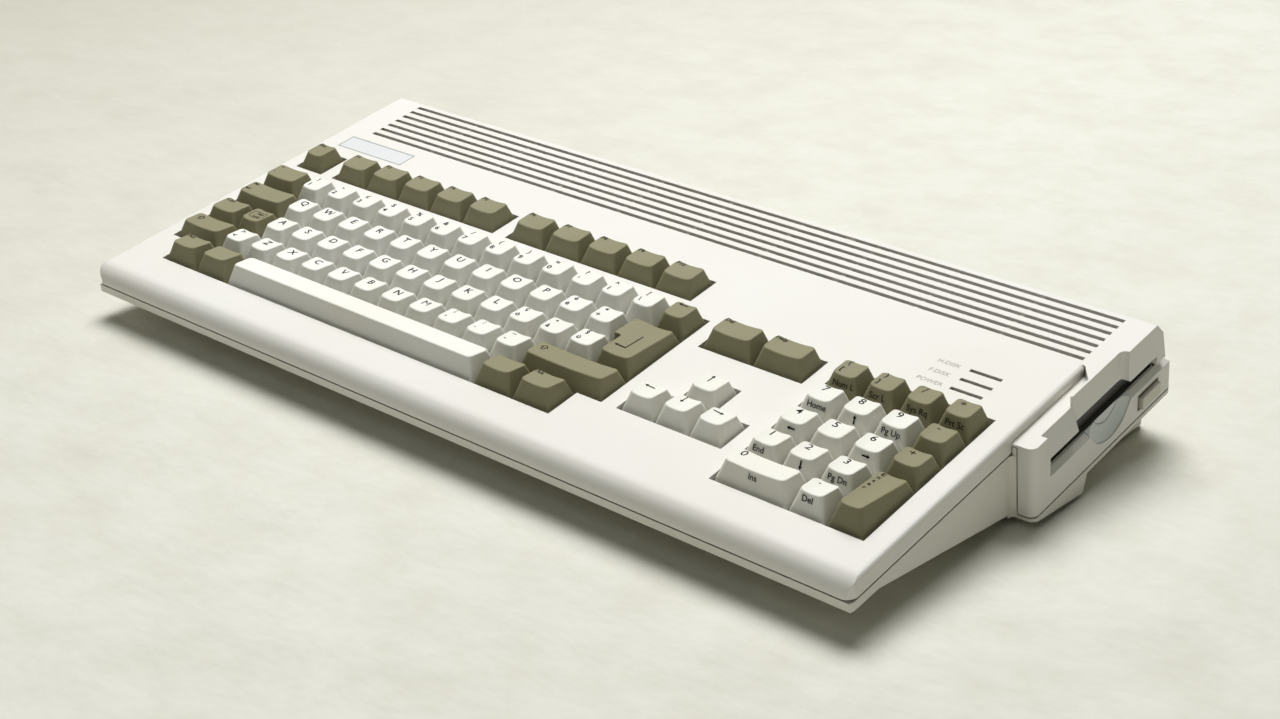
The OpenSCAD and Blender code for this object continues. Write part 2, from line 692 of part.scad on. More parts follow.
// The bottom shell's strip under the bay, with the wedge-shaped heel at its front.
strip_h = 2.3;
heel_s = 134.5;
heel_h = 11.7;
module bay_strip() along_x(bay_root - 2, bay_x) polygon([[bay_front, -bay_skirt - seam_gap],
    [bay_front, -bay_skirt - strip_h], [heel_s - 3.5, -bay_skirt - heel_h],
    [heel_s, -bay_skirt - strip_h - 0.7], [bay_rear - 2.5, -bay_skirt - strip_h - 0.7],
    [bay_rear - 1.5, -bay_skirt - seam_gap]]);
module heel_room() along_x(bay_root - 8, bay_x - bay_wall) polygon([[bay_front + 16, -bay_skirt + 1],
    [heel_s - 3.5 - wall, -bay_skirt - heel_h + wall], [heel_s - wall, -bay_skirt + 1]]);

tongue_h = 1.6;
tongue_t = 1.3;
tongue_rear = rear_s(-rim_h + tongue_h) - wall - tongue_clear - 0.6;
module tongue(out, thick, n0, n1) translate([0, 0, n0]) linear_extrude(n1 - n0) difference() {
    round_rect(-half_w + out, half_w - out, -front_margin + out, tongue_rear, corner_r - out);
    translate([-half_w + out + thick, -front_margin + out + thick])
        square([body_w - 2 * (out + thick), tongue_rear + front_margin - out - 2 * thick]);
    // The drive fills the bay's corner.
    translate([in_half - 8, bay_front - 2]) square([20, 200]);
    translate([drive_x0 - 4, tongue_rear - 10]) square([200, 20]);
}

rib_t = 2;
base_ribs = [-180, -60, 60, 180];
module base_rib_bars() for (x = base_ribs)
    block(x - rib_t / 2, x + rib_t / 2, base_s0 + 3, 22, -40, base_low);

module bottom_tubes() for (t = tubes)
    translate([t[0], t[1], -belly_drop - 1]) cylinder(d = tube_d, h = t[2] + belly_drop + 1);
module bottom_bores() for (t = tubes) {
    translate([t[0], t[1], -belly_drop - 2]) cylinder(d = screw_d + 2 * screw_clear, h = 60);
    translate([t[0], t[1], -belly_drop - 2])
        cylinder(d = screw_head_d + 0.6, h = tube_seat(t) + belly_drop + 2);
}
screw_head_d = 5.4;
seat_t = 3;
function tube_seat(t) = t[2] - seat_t;

board_y0 = 28;
board_y1 = port_y - wall - 0.5;
board_z = floor_z + board_lift;
board_top = board_z + board_t;
post_d = 7;
board_w = body_w - 2 * board_side;
post_x = board_w / 2 - 16;
board_posts = [[-post_x, 40], [-70, 40], [70, 40], [post_x, 40],
    [-post_x, 150], [-60, 150], [60, 150], [post_x - 6, 150]];
module board_pillars() for (p = board_posts)
    translate([p[0], p[1], floor_z - 1]) cylinder(d = post_d, h = board_lift + 1);

door_x = -70;
door_w = 90;
door_y0 = 70;
door_d = 56;
door_clear = 0.3;
door_t = 1.6;
card_y0 = 96;
card_w = 54;
card_h = 5.5;
card_z = -12;
card_shell = 1.5;

foot_x = half_w - 50;
foot_spots = [[-foot_x, 38], [foot_x, 38], [-foot_x, 190], [foot_x, 190]];
foot_stem_d = 5;

module bottom_case() color("#e4dfd0") level() difference() {
    union() {
        difference() {
            union() {
                hull_body(0);
                belly(0);
                rotate([slope, 0, 0]) intersection() {
                    bay_strip();
                    translate([0, 0, -60]) linear_extrude(60) bay_plan();
                }
            }
            difference() {
                union() {
                    hull_body(wall);
                    belly(wall);
                    rotate([slope, 0, 0]) heel_room();
                }
                base_ribs_in_case();
            }
            // Everything over the joint belongs to the top shell.
            rotate([slope, 0, 0])
                block(-half_w - 5, half_w + 5, -front_margin - 5, deck_rear + 30, seam_n, 60);
            rotate([slope, 0, 0]) block(bay_root - bay_reach, bay_x + 5, bay_front + flange_t, bay_rear + 10,
                -bay_skirt - seam_gap, 60);
            rear_recess();
        }
        rotate([slope, 0, 0]) bay_flange();
        rear_wall();
        board_pillars();
        intersection() {
            bottom_tubes();
            union() {
                hull_body(0);
                belly(0);
            }
        }
        rotate([slope, 0, 0]) tongue(wall + tongue_clear, tongue_t, seam_n - 4, -rim_h + tongue_h);
        rotate([slope, 0, 0]) tongue(wall - 1, tongue_t + 1.2, seam_n - 4, seam_n - 0.5);
    }
    bottom_bores();
    top_tube_room();
    for (p = foot_spots)
        translate([p[0], p[1], -belly_drop - 1]) cylinder(d = foot_stem_d + 0.2, h = wall + 2);
    block(door_x - door_w / 2, door_x + door_w / 2, door_y0, door_y0 + door_d, -belly_drop - 1, floor_z + 1);
    block(-half_w - 1, -in_half + 3, card_y0 - card_shell - 0.3, card_y0 + card_w + card_shell + 0.3,
        card_z - card_shell - 0.3, card_z + card_h + card_shell + 0.3);
    port_cutouts();
    belly_vents();
}

// The side wall turns outwards in front of the bay, with a hollow corner.
flange_out = 2.4;
flange_t = 2.2;
flange_r = 3;
flange_top = -ledge_drop - 1.6;
module bay_flange() {
    block(in_half, half_w + flange_out, bay_front, bay_front + flange_t, -bay_skirt - strip_h, seam_n);
    block(half_w + 0.4, half_w + flange_out, bay_front, bay_front + flange_t, seam_n - 1, flange_top);
    translate([0, 0, -bay_skirt - strip_h + 0.4]) linear_extrude(bay_skirt + strip_h - 0.4 + seam_n)
        difference() {
            translate([half_w - 0.5, bay_front - flange_r]) square([flange_out + 0.5, flange_r + 0.5]);
            translate([half_w + flange_r, bay_front - flange_r]) circle(flange_r);
        }
}

module top_tube_room() for (t = tubes)
    translate([t[0], t[1], t[2]]) cylinder(d = tube_d + 0.4, h = 60);

module base_ribs_in_case() rotate([slope, 0, 0]) base_rib_bars();

module rear_recess() block(-recess_x, recess_x, port_y, rear_y + 1, recess_z0, recess_z1);
module rear_wall() block(-recess_x - 1, recess_x + 1, port_y - wall, port_y, floor_z - 1, recess_z1 + wall);

module belly_vents() for (i = [0:11], y = [100, 150])
    block(20 + i * 7, 22.5 + i * 7, y, y + 34, -belly_drop - 1, floor_z + 1);

// A ledge round the opening would foul the board, so the door clips in flush with two tongues.
module trapdoor() color("#ddd7c8") level() {
    block(door_x - door_w / 2 + door_clear, door_x + door_w / 2 - door_clear, door_y0 + door_clear,
        door_y0 + door_d - door_clear, -belly_drop, -belly_drop + door_t);
    for (x = [door_x - 25, door_x + 25])
        block(x - 6, x + 6, door_y0 + door_clear, door_y0 + 8, -belly_drop + door_t - eps, floor_z + 0.3);
}

module rubber_feet() color("#55524c") level() for (p = foot_spots)
    translate([p[0], p[1], 0]) {
        translate([0, 0, table_z]) cylinder(d = foot_d, h = foot_h);
        translate([0, 0, -belly_drop - eps]) cylinder(d = foot_stem_d, h = wall);
    }

module case_screws() color("#8c8f92") level() for (t = tubes) translate([t[0], t[1], 0]) {
    translate([0, 0, tube_seat(t) - 2]) cylinder(d = screw_head_d, h = 2);
    translate([0, 0, tube_seat(t) - eps]) cylinder(d = pilot_d - 2 * run_clear, h = seat_t + 6);
}

// ---- Main board -------------------------------------------------------------------------
module main_board() color("#2f5a3a") level() difference() {
    block(-board_w / 2, board_w / 2, board_y0, board_y1, board_z, board_top);
    post_hole();
    for (p = board_posts) translate([p[0], p[1], board_z - 1]) cylinder(d = 3.2, h = board_t + 2);
}

// The rear screw post passes the board and its lower shield.
module post_hole() translate([rear_post[0], rear_post[1], board_z - 3])
    cylinder(d = tube_d + 1.5, h = board_t + 4);

// [x, y, width, depth, height] of each chip, slot and can on the board.
chips = [[-120, 120, 30, 30, 4], [-60, 118, 34, 34, 4], [0, 120, 30, 30, 4], [50, 116, 26, 26, 4],
    [-120, 165, 54, 15, 5], [-55, 165, 54, 15, 5], [5, 165, 40, 12, 4], [55, 165, 30, 10, 4],
    [-165, 60, 20, 14, 3], [-165, 85, 20, 14, 3], [-70, 60, 52, 9, 6], [0, 60, 20, 9, 3], [40, 60, 20, 9, 3]];
module board_chips() color("#2b2b2d") level() for (c = chips)
    translate([c[0], c[1], board_top]) translate([-c[2] / 2, -c[3] / 2, 0]) cube([c[2], c[3], c[4]]);

shield_x0 = -board_w / 2 + 7;
shield_x1 = rear_post[0] - 8;
shield_y0 = 46;
shield_y1 = 182;
lower_y0 = 66;
lower_gap = 0.3;
module shield_upper() color("#b7babb") level() difference() {
    block(shield_x0, shield_x1, shield_y0, shield_y1, board_top, board_top + shield_h);
    block(shield_x0 + shield_t, shield_x1 - shield_t, shield_y0 + shield_t, shield_y1 - shield_t,
        board_top - 1, board_top + shield_h - shield_t);
    for (x = [shield_x0 + 20:14:shield_x1 - 20], y = [shield_y0 + 18:20:shield_y1 - 18])
        translate([x, y, board_top + shield_h - 3]) cylinder(d = 5, h = 6, $fn = 24);
}

module shield_lower() color("#aeb1b2") level() difference() {
    block(-board_w / 2 + 2, board_w / 2 - 2, lower_y0, board_y1 - 4,
        board_z - lower_gap - shield_t, board_z - lower_gap);
    for (p = board_posts) translate([p[0], p[1], board_z - 3]) cylinder(d = post_d + 0.6, h = 4);
    post_hole();
}

// ---- Disk drive -------------------------------------------------------------------------
drive_s0 = drive_mid - drive_w / 2;
drive_s1 = drive_mid + drive_w / 2;
drive_top = -bay_roof - 3.6;
drive_low = drive_top - drive_h;
disk_n = slot_low + 1.5;
hub_x = drive_x1 - 56;
flywheel_r = 20;
hub_top = disk_n - 0.3;
rail_s = 15;
rail_x0 = drive_x0 + 6;
cheek_t = 3;
carriage_l = 22;
carriage_x = rail_x0 + 5;
rail_spare = 4;
rail_x1 = carriage_x + carriage_l + head_travel + rail_spare;
rail_n = drive_low + 7;
lead_s = drive_mid + 30;
bezel_t = 4;
bezel_x0 = drive_x1;
bezel_x1 = drive_x1 + bezel_t;

module drive_chassis() color("#b3b6b8") tilted() {
    difference() {
        block(drive_x0, drive_x1, drive_s0, drive_s1, drive_low, drive_top - drive_sheet - 0.2);
        block(drive_x0 + drive_sheet, drive_x1 + 1, drive_s0 + drive_sheet, drive_s1 - drive_sheet,
            drive_low + drive_sheet, drive_top + 1);
        translate([hub_x, drive_mid, drive_low - 1]) cylinder(r = 3.5, h = 4);
        // Notch that the eject button passes.
        block(drive_x1 - button_notch, drive_x1 + 1, button_s0 - 1.5, drive_s1 + 1, drive_low - 1, button_n1);
        for (x = [drive_x0 + 20, drive_x1 - 24], s = [drive_s0 + 8, drive_s1 - 8])
            translate([x, s, drive_low - 1]) cylinder(d = 3.2, h = 4);
    }
    // Cheeks that hold the ends of the rails and of the lead screw.
    for (x = [rail_x0, rail_x1 - cheek_t]) difference() {
        block(x, x + cheek_t, drive_mid - rail_s - 5, lead_s + 5, drive_low + drive_sheet - eps, rail_n + 4);
        for (s = [-rail_s, rail_s]) translate([x - 1, drive_mid + s, rail_n]) rotate([0, 90, 0])
            cylinder(d = rail_d, h = 5);
        translate([x - 1, lead_s, rail_n]) rotate([0, 90, 0]) cylinder(d = lead_d - 1 + 2 * run_clear, h = 5);
    }
    // Ledges that carry the disk.
    for (s = [slot_s0 + 0.5, slot_s1 - 5.5])
        block(hub_x - 20, drive_x1 - button_notch - 1, s, s + 5, drive_low + drive_sheet - eps, disk_n - 2);
}

module drive_cover() color("#c4c7c8") tilted() difference() {
    block(drive_x0, drive_x1, drive_s0 - drive_sheet - 0.1, drive_s1 + drive_sheet + 0.1,
        drive_top - 8, drive_top);
    block(drive_x0 - 1, drive_x1 + 1, drive_s0 - 0.1, drive_s1 + 0.1, drive_top - 9, drive_top - drive_sheet);
    block(hub_x - 12, hub_x + 12, drive_mid - 12, drive_mid + 12, drive_top - 2, drive_top + 1);
}

flap_x = bezel_x0 + 1.2;
flap_n = -disk_slot_drop - 1.1;
flap_t = 0.8;
flap_h = disk_slot_h - 1.6;
flap_w = disk_slot_w - 1.4;
module drive_bezel() color("#d5d1c4") tilted() difference() {
    block(bezel_x0, bezel_x1, drive_s0 + 0.5, drive_s1 - 0.5, drive_low + 1, drive_top - 1);
    block(bezel_x0 - 1, bezel_x1 + 1, slot_s0 + 0.4, slot_s1 - 0.4, slot_low + 0.3, -disk_slot_drop - 0.2);
    // The bar over the slot stands clear of the set-back face.
    block(skin_x - 0.3, bezel_x1 + 1, drive_s0, drive_s1, -disk_slot_drop - 0.2, drive_top);
    // Grooves for the flap's pins.
    translate([flap_x, slot_s0 - 1.6, flap_n]) rotate([-90, 0, 0])
        cylinder(d = flap_pin_d + 2 * run_clear, h = disk_slot_w + 3.2);
    block(bezel_x0 - 1, bezel_x1 + 1, button_s0 + 0.8, button_s0 + button_open_w - 0.8,
        button_n1 - button_open_h + 0.8, button_n1 - 0.8);
}

// The flap hangs from pins at its upper corners and swings inwards.
module dust_flap() color("#1c1b19") tilted() {
    block(flap_x - flap_t / 2, flap_x + flap_t / 2, drive_mid - flap_w / 2, drive_mid + flap_w / 2,
        flap_n - flap_h, flap_n);
    translate([flap_x, drive_mid - flap_w / 2 - 2, flap_n]) rotate([-90, 0, 0])
        cylinder(d = flap_pin_d, h = flap_w + 4);
}

module spindle_hub() color("#9ea1a3") tilted() {
    translate([hub_x, drive_mid, drive_low + drive_sheet + 0.3]) cylinder(r = flywheel_r, h = 3);
    translate([hub_x, drive_mid, drive_low + 0.3]) cylinder(r = 3.5 - run_clear, h = 4);
    translate([hub_x, drive_mid, drive_low + 4]) cylinder(r = hub_r, h = hub_top - drive_low - 4);
    translate([hub_x + 9, drive_mid, hub_top - eps]) cylinder(r = 1.5, h = 1.2);
}

module head_carriage() color("#3a3a3c") tilted() difference() {
    union() {
        block(carriage_x, carriage_x + carriage_l, drive_mid - rail_s - 4, drive_mid + rail_s + 4,
            rail_n - 3.5, rail_n + 3.5);
        block(carriage_x + 4, carriage_x + 12, drive_mid + rail_s, lead_s + 4, rail_n - 3.5, rail_n + 3.5);
        block(carriage_x + carriage_l - 8, carriage_x + carriage_l - 1, drive_mid - 4, drive_mid + 4,
            rail_n + 3, disk_n - 0.6);
    }
    for (s = [-rail_s, rail_s]) translate([carriage_x - 1, drive_mid + s, rail_n]) rotate([0, 90, 0])
        cylinder(d = rail_d + 2 * run_clear, h = carriage_l + 2);
    translate([carriage_x - 1, lead_s, rail_n]) rotate([0, 90, 0])
        cylinder(d = lead_d + 2 * run_clear, h = carriage_l + 2);
}

module carriage_rails() color("#c9ccce") tilted() for (s = [-rail_s, rail_s])
    translate([rail_x0 + 0.2, drive_mid + s, rail_n]) rotate([0, 90, 0])
        cylinder(d = rail_d - 0.02, h = rail_x1 - rail_x0 - 0.4);

module lead_screw() color("#bfc2c4") tilted() translate([0, lead_s, rail_n]) rotate([0, 90, 0]) {
    translate([0, 0, rail_x0 + cheek_t + 0.3])
        cylinder(d = lead_d, h = rail_x1 - rail_x0 - 2 * cheek_t - 0.6);
    translate([0, 0, rail_x0 - 2.5]) cylinder(d = lead_d - 1, h = rail_x1 - rail_x0 + 1.5);
}

module stepper_motor() color("#8b8e90") tilted()
    block(drive_x0 + drive_sheet + 0.2, rail_x0 - 2.7, lead_s - 8, lead_s + 8,
        drive_low + drive_sheet, rail_n + 8);

button_w = button_open_w - 2 * button_clear - 1.6;
button_h = button_open_h - 2 * button_clear - 1.6;
button_x1 = bay_x + button_out;
button_tail = 7;
button_notch = button_tail + button_travel + 1;
module eject_button() color("#cfcabb") tilted() {
    s0 = button_s0 + button_clear + 0.8;
    n0 = button_n1 - button_open_h + button_clear + 0.8;
    block(drive_x1 - button_tail, button_x1, s0, s0 + button_w, n0, n0 + button_h);
    block(drive_x1 - 2.6, drive_x1 - 0.3, s0 - 1.1, s0 + button_w + 1.1, n0, n0 + button_h);
}

module drive_board() color("#33603f") tilted() difference() {
    block(drive_x0 + 30, drive_x1 - button_notch - 2, drive_s0 + 4, drive_s1 - 4,
        drive_low - 1.6, drive_low - 0.3);
    translate([hub_x, drive_mid, drive_low - 4]) cylinder(r = 10, h = 5);
}

module led_board() color("#2f6b3f") tilted() {
    block(lamp_x - 14, lamp_x + 12, lamp_s - 5, lamp_s + 2 * lamp_pitch + 5, -wall - 4, -wall - 2.8);
    for (i = [0:2])
        block(lamp_x - 4, lamp_x + 4, lamp_s + i * lamp_pitch - 1, lamp_s + i * lamp_pitch + 1,
            -wall - 2.8 - eps, -wall - 0.3);
}

// ---- Ribbons ----------------------------------------------------------------------------
drive_ribbon = [drive_x0 - 18, 120, 0.8, 40, 12];
keys_ribbon = [-30, 40, 42, 0.6, 8];
// Each ribbon: [x, y, width, depth, height].
module ribbon_cables() color("#7d8183") for (r = [drive_ribbon, keys_ribbon])
    level() translate([r[0], r[1], board_top]) cube([r[2], r[3], r[4]]);

// ---- Ports ------------------------------------------------------------------------------
pin_z = board_top + 6.4;
pin_pitch = 2.76;
// A D-shaped shell: wide at the top, narrower below.
module d_shape(w, h, k) polygon([[-w / 2 + k, h / 2 - k], [w / 2 - k, h / 2 - k],
    [w / 2 - 1.4 - k, -h / 2 + k], [-w / 2 + 1.4 + k, -h / 2 + k]]);

d_h = 8.4;
d_flange_h = 12.5;
// [name, place across a case 470 wide, width] of each port.
ports_for_w = 470;
ports = [["power", 200, 22], ["disk", 155, 49], ["serial", 98, 53], ["parallel", 40, 53],
    ["rf", -5, 26], ["video", -49, 49], ["audio", -92, 26], ["joystick", -128, 31], ["mouse", -163, 31]];
function port_x(i) = ports[i][1] * body_w / ports_for_w;
function port_w(i) = ports[i][2];

module d_port(i, male) {
    x = port_x(i);
    w = port_w(i) - 14;
    y0 = port_y - wall - 9;
    translate([x, 0, pin_z]) difference() {
        union() {
            along_y(port_y - wall - 1, port_y + 5) d_shape(w, d_h, 0);
            block(-port_w(i) / 2 + 1, port_w(i) / 2 - 1, port_y - wall - 1.2, port_y - wall - 0.2,
                -d_flange_h / 2, d_flange_h / 2);
            block(-w / 2, w / 2, y0, port_y - wall - 1, -d_h / 2 + 1.4, d_h / 2 - 1);
            block(-w / 2, w / 2, y0, y0 + 4, board_top - pin_z, 0);
        }
        along_y(port_y - 0.5, port_y + 6) d_shape(w, d_h, 0.7);
    }
    if (!male) translate([x, 0, pin_z]) along_y(port_y - 1, port_y + 4.4) d_shape(w, d_h, 1.1);
    pins = floor((w - 1.5) / pin_pitch);
    if (male) for (r = [0, 1], k = [0:pins - 1 - r])
        translate([x + (k - (pins - 1 - r) / 2) * pin_pitch, port_y - 1, pin_z + 1.4 - 2.8 * r])
            rotate([-90, 0, 0]) cylinder(d = 1, h = 4.5);
}

port_metal = "#a7aaac";
module disk_port() color(port_metal) level() d_port(1, false);
module serial_port() color(port_metal) level() d_port(2, true);
module parallel_port() color(port_metal) level() d_port(3, false);
module video_port() color(port_metal) level() d_port(5, true);
module controller_ports() color(port_metal) level() {
    d_port(7, true);
    d_port(8, true);
}

module power_socket() color("#2a2a2c") level() translate([port_x(0), 0, pin_z]) difference() {
    block(-9, 9, port_y - 14, port_y - 0.3, board_top - pin_z, 9);
    translate([0, port_y - 8, 1]) rotate([-90, 0, 0]) cylinder(d = 14, h = 12);
}

jack_d = 8.3;
module jack(x) translate([x, 0, pin_z]) rotate([-90, 0, 0]) difference() {
    union() {
        translate([0, 0, port_y - 3]) cylinder(d = jack_d, h = 8);
        translate([-5, -5.5, port_y - 12]) cube([10, 5.5 + pin_z - board_top, 8.9 - wall + 0.4]);
    }
    translate([0, 0, port_y - 2]) cylinder(d = 3.3, h = 12);
}

module rf_box() color(port_metal) level() {
    block(port_x(4) - 13, port_x(4) + 13, port_y - 24, port_y - 12, board_top, board_top + 14);
    for (x = [-6.5, 6.5]) jack(port_x(4) + x);
}

module audio_jacks() color("#c3c5c6") level() for (x = [-6.5, 6.5]) jack(port_x(6) + x);

module port_cutouts() {
    for (i = [1, 2, 3, 5, 7, 8]) {
        w = port_w(i) - 14;
        translate([port_x(i), 0, pin_z]) along_y(port_y - wall - 1, port_y + 1) d_shape(w + 1, d_h + 1, 0);
    }
    block(port_x(0) - 9.3, port_x(0) + 9.3, port_y - wall - 1, port_y + 1, board_top - 0.3, pin_z + 9.3);
    for (i = [4, 6], x = [-6.5, 6.5]) translate([port_x(i) + x, port_y - wall - 1, pin_z]) rotate([-90, 0, 0])
        cylinder(d = jack_d + 0.6, h = wall + 2);
    block(blank_x - blank_w / 2, blank_x + blank_w / 2, port_y - wall - 1, port_y + 1,
        blank_z0, blank_z0 + blank_h);
}

blank_x = -recess_x + 23;
blank_w = 34;
blank_z0 = -22;
blank_h = 18;
module blanking_plate() color("#ddd7c8") level() {
    block(blank_x - blank_w / 2 + 0.2, blank_x + blank_w / 2 - 0.2, port_y - wall, port_y - 0.4,
        blank_z0 + 0.2, blank_z0 + blank_h - 0.2);
    block(blank_x - blank_w / 2 - 2, blank_x + blank_w / 2 + 2, port_y - wall - 1.2, port_y - wall,
        blank_z0 + 2, blank_z0 + blank_h - 2);
}

card_l = 60;
module card_socket() color("#4a4b4d") level() {
    difference() {
        block(-half_w + 0.6, -half_w + card_l, card_y0 - card_shell, card_y0 + card_w + card_shell,
            card_z - card_shell, card_z + card_h + card_shell);
        block(-half_w, -half_w + card_l - 6, card_y0, card_y0 + card_w, card_z, card_z + card_h);
    }
    // Legs stand on the board beside the shield.
    for (y = [card_y0 - card_shell, card_y0 + card_w + card_shell - 5])
        block(-board_w / 2 + 1, shield_x0 - 1, y, y + 5, board_top, card_z - card_shell);
}

top_case();
bottom_case();
trapdoor();
rubber_feet();
case_screws();
badge_plate();
blanking_plate();
keyboard_frame();
rubber_sheet();
membrane();
keyboard_backplate();
main_board();
board_chips();
shield_upper();
shield_lower();
drive_chassis();
drive_cover();
drive_bezel();
dust_flap();
spindle_hub();
head_carriage();
carriage_rails();
lead_screw();
stepper_motor();
eject_button();
drive_board();
ribbon_cables();
led_board();
card_socket();
power_socket();
disk_port();
serial_port();
parallel_port();
rf_box();
video_port();
audio_jacks();
controller_ports();
esc_key();
function_keys_left();
function_keys_right();
backquote_key();
number_keys();
backspace_key();
tab_key();
upper_letter_keys();
return_key();
control_key();
caps_lock_key();
middle_letter_keys();
left_shift_key();
lower_letter_keys();
right_shift_key();
alt_keys();
command_keys();
space_bar();
edit_keys();
cursor_keys();
numpad_digit_keys();
numpad_sign_keys();
enter_key();
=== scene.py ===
import math
import bpy
import bmesh
from mathutils import Matrix, Vector


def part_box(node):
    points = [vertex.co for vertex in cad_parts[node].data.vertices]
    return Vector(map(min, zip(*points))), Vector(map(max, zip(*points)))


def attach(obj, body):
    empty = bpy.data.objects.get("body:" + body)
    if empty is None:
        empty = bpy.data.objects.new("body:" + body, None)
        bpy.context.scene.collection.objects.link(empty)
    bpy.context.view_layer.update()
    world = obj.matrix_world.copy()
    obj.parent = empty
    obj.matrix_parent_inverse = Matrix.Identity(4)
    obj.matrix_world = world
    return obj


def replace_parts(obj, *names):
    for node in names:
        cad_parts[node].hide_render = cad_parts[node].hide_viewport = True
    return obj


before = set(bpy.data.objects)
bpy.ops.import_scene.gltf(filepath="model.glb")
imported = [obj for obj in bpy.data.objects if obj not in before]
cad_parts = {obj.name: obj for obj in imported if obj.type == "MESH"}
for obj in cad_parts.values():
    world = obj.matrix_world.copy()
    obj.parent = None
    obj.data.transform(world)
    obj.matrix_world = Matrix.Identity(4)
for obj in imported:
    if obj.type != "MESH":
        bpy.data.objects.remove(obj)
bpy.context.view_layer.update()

scene = bpy.context.scene
mm = 0.001

# The deck, keys and drive slope with the keyboard; ports, feet and boards stand level.
deck = {"origin": (-5.4, -95.3024, 32.0), "slope": 9.0}   # in millimetres and degrees
deckSlope = Matrix.Rotation(math.radians(deck["slope"]), 4, "X")
deckPlace = Matrix.Translation(Vector(deck["origin"]) * mm) @ deckSlope
deckTurn = deckPlace.to_3x3()
fromMm = Matrix.Scale(mm, 4)
deckFromMm = deckPlace @ fromMm


# Shader tools

class Link:
    # One socket of a finish, so that shader maths can be written as sums.
    def __init__(self, finish, socket):
        self.finish = finish
        self.socket = socket

    def sum(self, operation, first, second):
        return self.finish.node("ShaderNodeMath", {"operation": operation}, {0: first, 1: second})

    def __add__(self, other):
        return self.sum("ADD", self, other)

    def __mul__(self, other):
        return self.sum("MULTIPLY", self, other)

    def __sub__(self, other):
        return self.sum("SUBTRACT", self, other)

    def __rsub__(self, other):
        return self.sum("SUBTRACT", other, self)

    def __truediv__(self, other):
        return self.sum("DIVIDE", self, other)

    def __pow__(self, other):
        return self.sum("POWER", self, other)

    __radd__ = __add__


shaderSockets = {
    "colour": "Base Color",
    "rough": "Roughness",
    "normal": "Normal",
    "metal": "Metallic",
    "glow": "Emission Color",
}


class Finish:
    # A material or the room under construction: its shader and a way to add nodes.
    def __init__(self, name, constants, store=bpy.data.materials, shader="Principled BSDF"):
        self.made = store.new(name)
        self.made.use_nodes = True
        self.tree = self.made.node_tree
        self.shader = self.tree.nodes[shader]
        for label, value in constants.items():
            self.join(value, self.shader.inputs[label])

    def join(self, value, socket):
        if isinstance(value, Link):
            self.tree.links.new(value.socket, socket)
        elif isinstance(value, tuple) and socket.type == "RGBA":
            socket.default_value = (*value, 1.0)
        else:
            socket.default_value = value

    def node(self, kind, settings=None, sockets=None, output=0):
        new = self.tree.nodes.new(kind)
        for key, value in (settings or {}).items():
            if key == "stops":
                ramp = new.color_ramp
                while len(ramp.elements) < len(value):
                    ramp.elements.new(1.0)
                for element, (place, shade) in zip(ramp.elements, value):
                    element.position = place
                    element.color = (shade, shade, shade, 1.0)
            else:
                setattr(new, key, value)
        for key, value in (sockets or {}).items():
            self.join(value, new.inputs[key])
        return Link(self, new.outputs[output])

    def place(self, stretch=(1.0, 1.0, 1.0)):
        coordinates = self.node("ShaderNodeTexCoord", output="Object")
        return self.node("ShaderNodeMapping", {}, {"Vector": coordinates, "Scale": stretch})

    def noise(self, scale, detail, rough, stretch=(1.0, 1.0, 1.0)):
        sockets = {"Vector": self.place(stretch), "Scale": scale, "Detail": detail,
                   "Roughness": rough}
        return self.node("ShaderNodeTexNoise", {}, sockets)

    def ramp(self, value, stops):
        return self.node("ShaderNodeValToRGB", {"stops": stops}, {"Fac": value})

    def blend(self, factor, first, second):
        return self.node("ShaderNodeMix", {"data_type": "RGBA"}, {0: factor, 6: first, 7: second},
                         output=2)

    def bump(self, height, strength, distance, under=None):
        sockets = {"Height": height, "Strength": strength, "Distance": distance}
        if under:
            sockets["Normal"] = under
        return self.node("ShaderNodeBump", {}, sockets)

    def feed(self, **links):
        for key, value in links.items():
            self.join(value, self.shader.inputs[shaderSockets[key]])


# Camera, lamps and room

view = {
    "place": (0.60318, -0.68260, 0.44914),
    "turn": (64.0619, 0.0362, 40.3226),
    "lens": 58.404,
    "sensor": 36.0,
    "near": 0.01,
}


def makeCamera():
    data = bpy.data.cameras.new("camera")
    data.lens = view["lens"]
    data.sensor_fit = "HORIZONTAL"
    data.sensor_width = view["sensor"]
    data.clip_start = view["near"]
    camera = bpy.data.objects.new("camera", data)
    camera.location = view["place"]
    camera.rotation_euler = [math.radians(angle) for angle in view["turn"]]
    scene.collection.objects.link(camera)
    scene.camera = camera


lamps = {
    # name: place, size in metres, power in watts
    "ceilingLamp": ((-0.5, 0.66, 2.3), 1.4, 71.0),
    "frontLamp": ((0.4, -1.6, 2.2), 1.2, 4.0),
}
roomLight = {
    "colour": (0.90, 0.97, 0.72),
    "strength": 0.085,
    "backdrop": (0.87, 0.865, 0.80),
}


def makeLamps():
    for name, (place, size, power) in lamps.items():
        data = bpy.data.lights.new(name, "AREA")
        data.shape = "SQUARE"
        data.size = size
        data.energy = power
        lamp = bpy.data.objects.new(name, data)
        lamp.location = place
        lamp.rotation_euler = (-Vector(place)).to_track_quat("-Z", "Y").to_euler()
        scene.collection.objects.link(lamp)


def makeRoom():
    # The object gets the room's dim light; the camera and mirrors see the pale backdrop.
    room = Finish("room", {}, bpy.data.worlds, "Background")
    camera = room.node("ShaderNodeLightPath", output="Is Camera Ray")
    mirror = room.node("ShaderNodeLightPath", output="Is Glossy Ray")
    dim = tuple(part * roomLight["strength"] for part in roomLight["colour"])
    seen = camera.sum("MAXIMUM", camera, mirror)
    room.join(room.blend(seen, dim, roomLight["backdrop"]), room.shader.inputs["Color"])
    scene.world = room.made
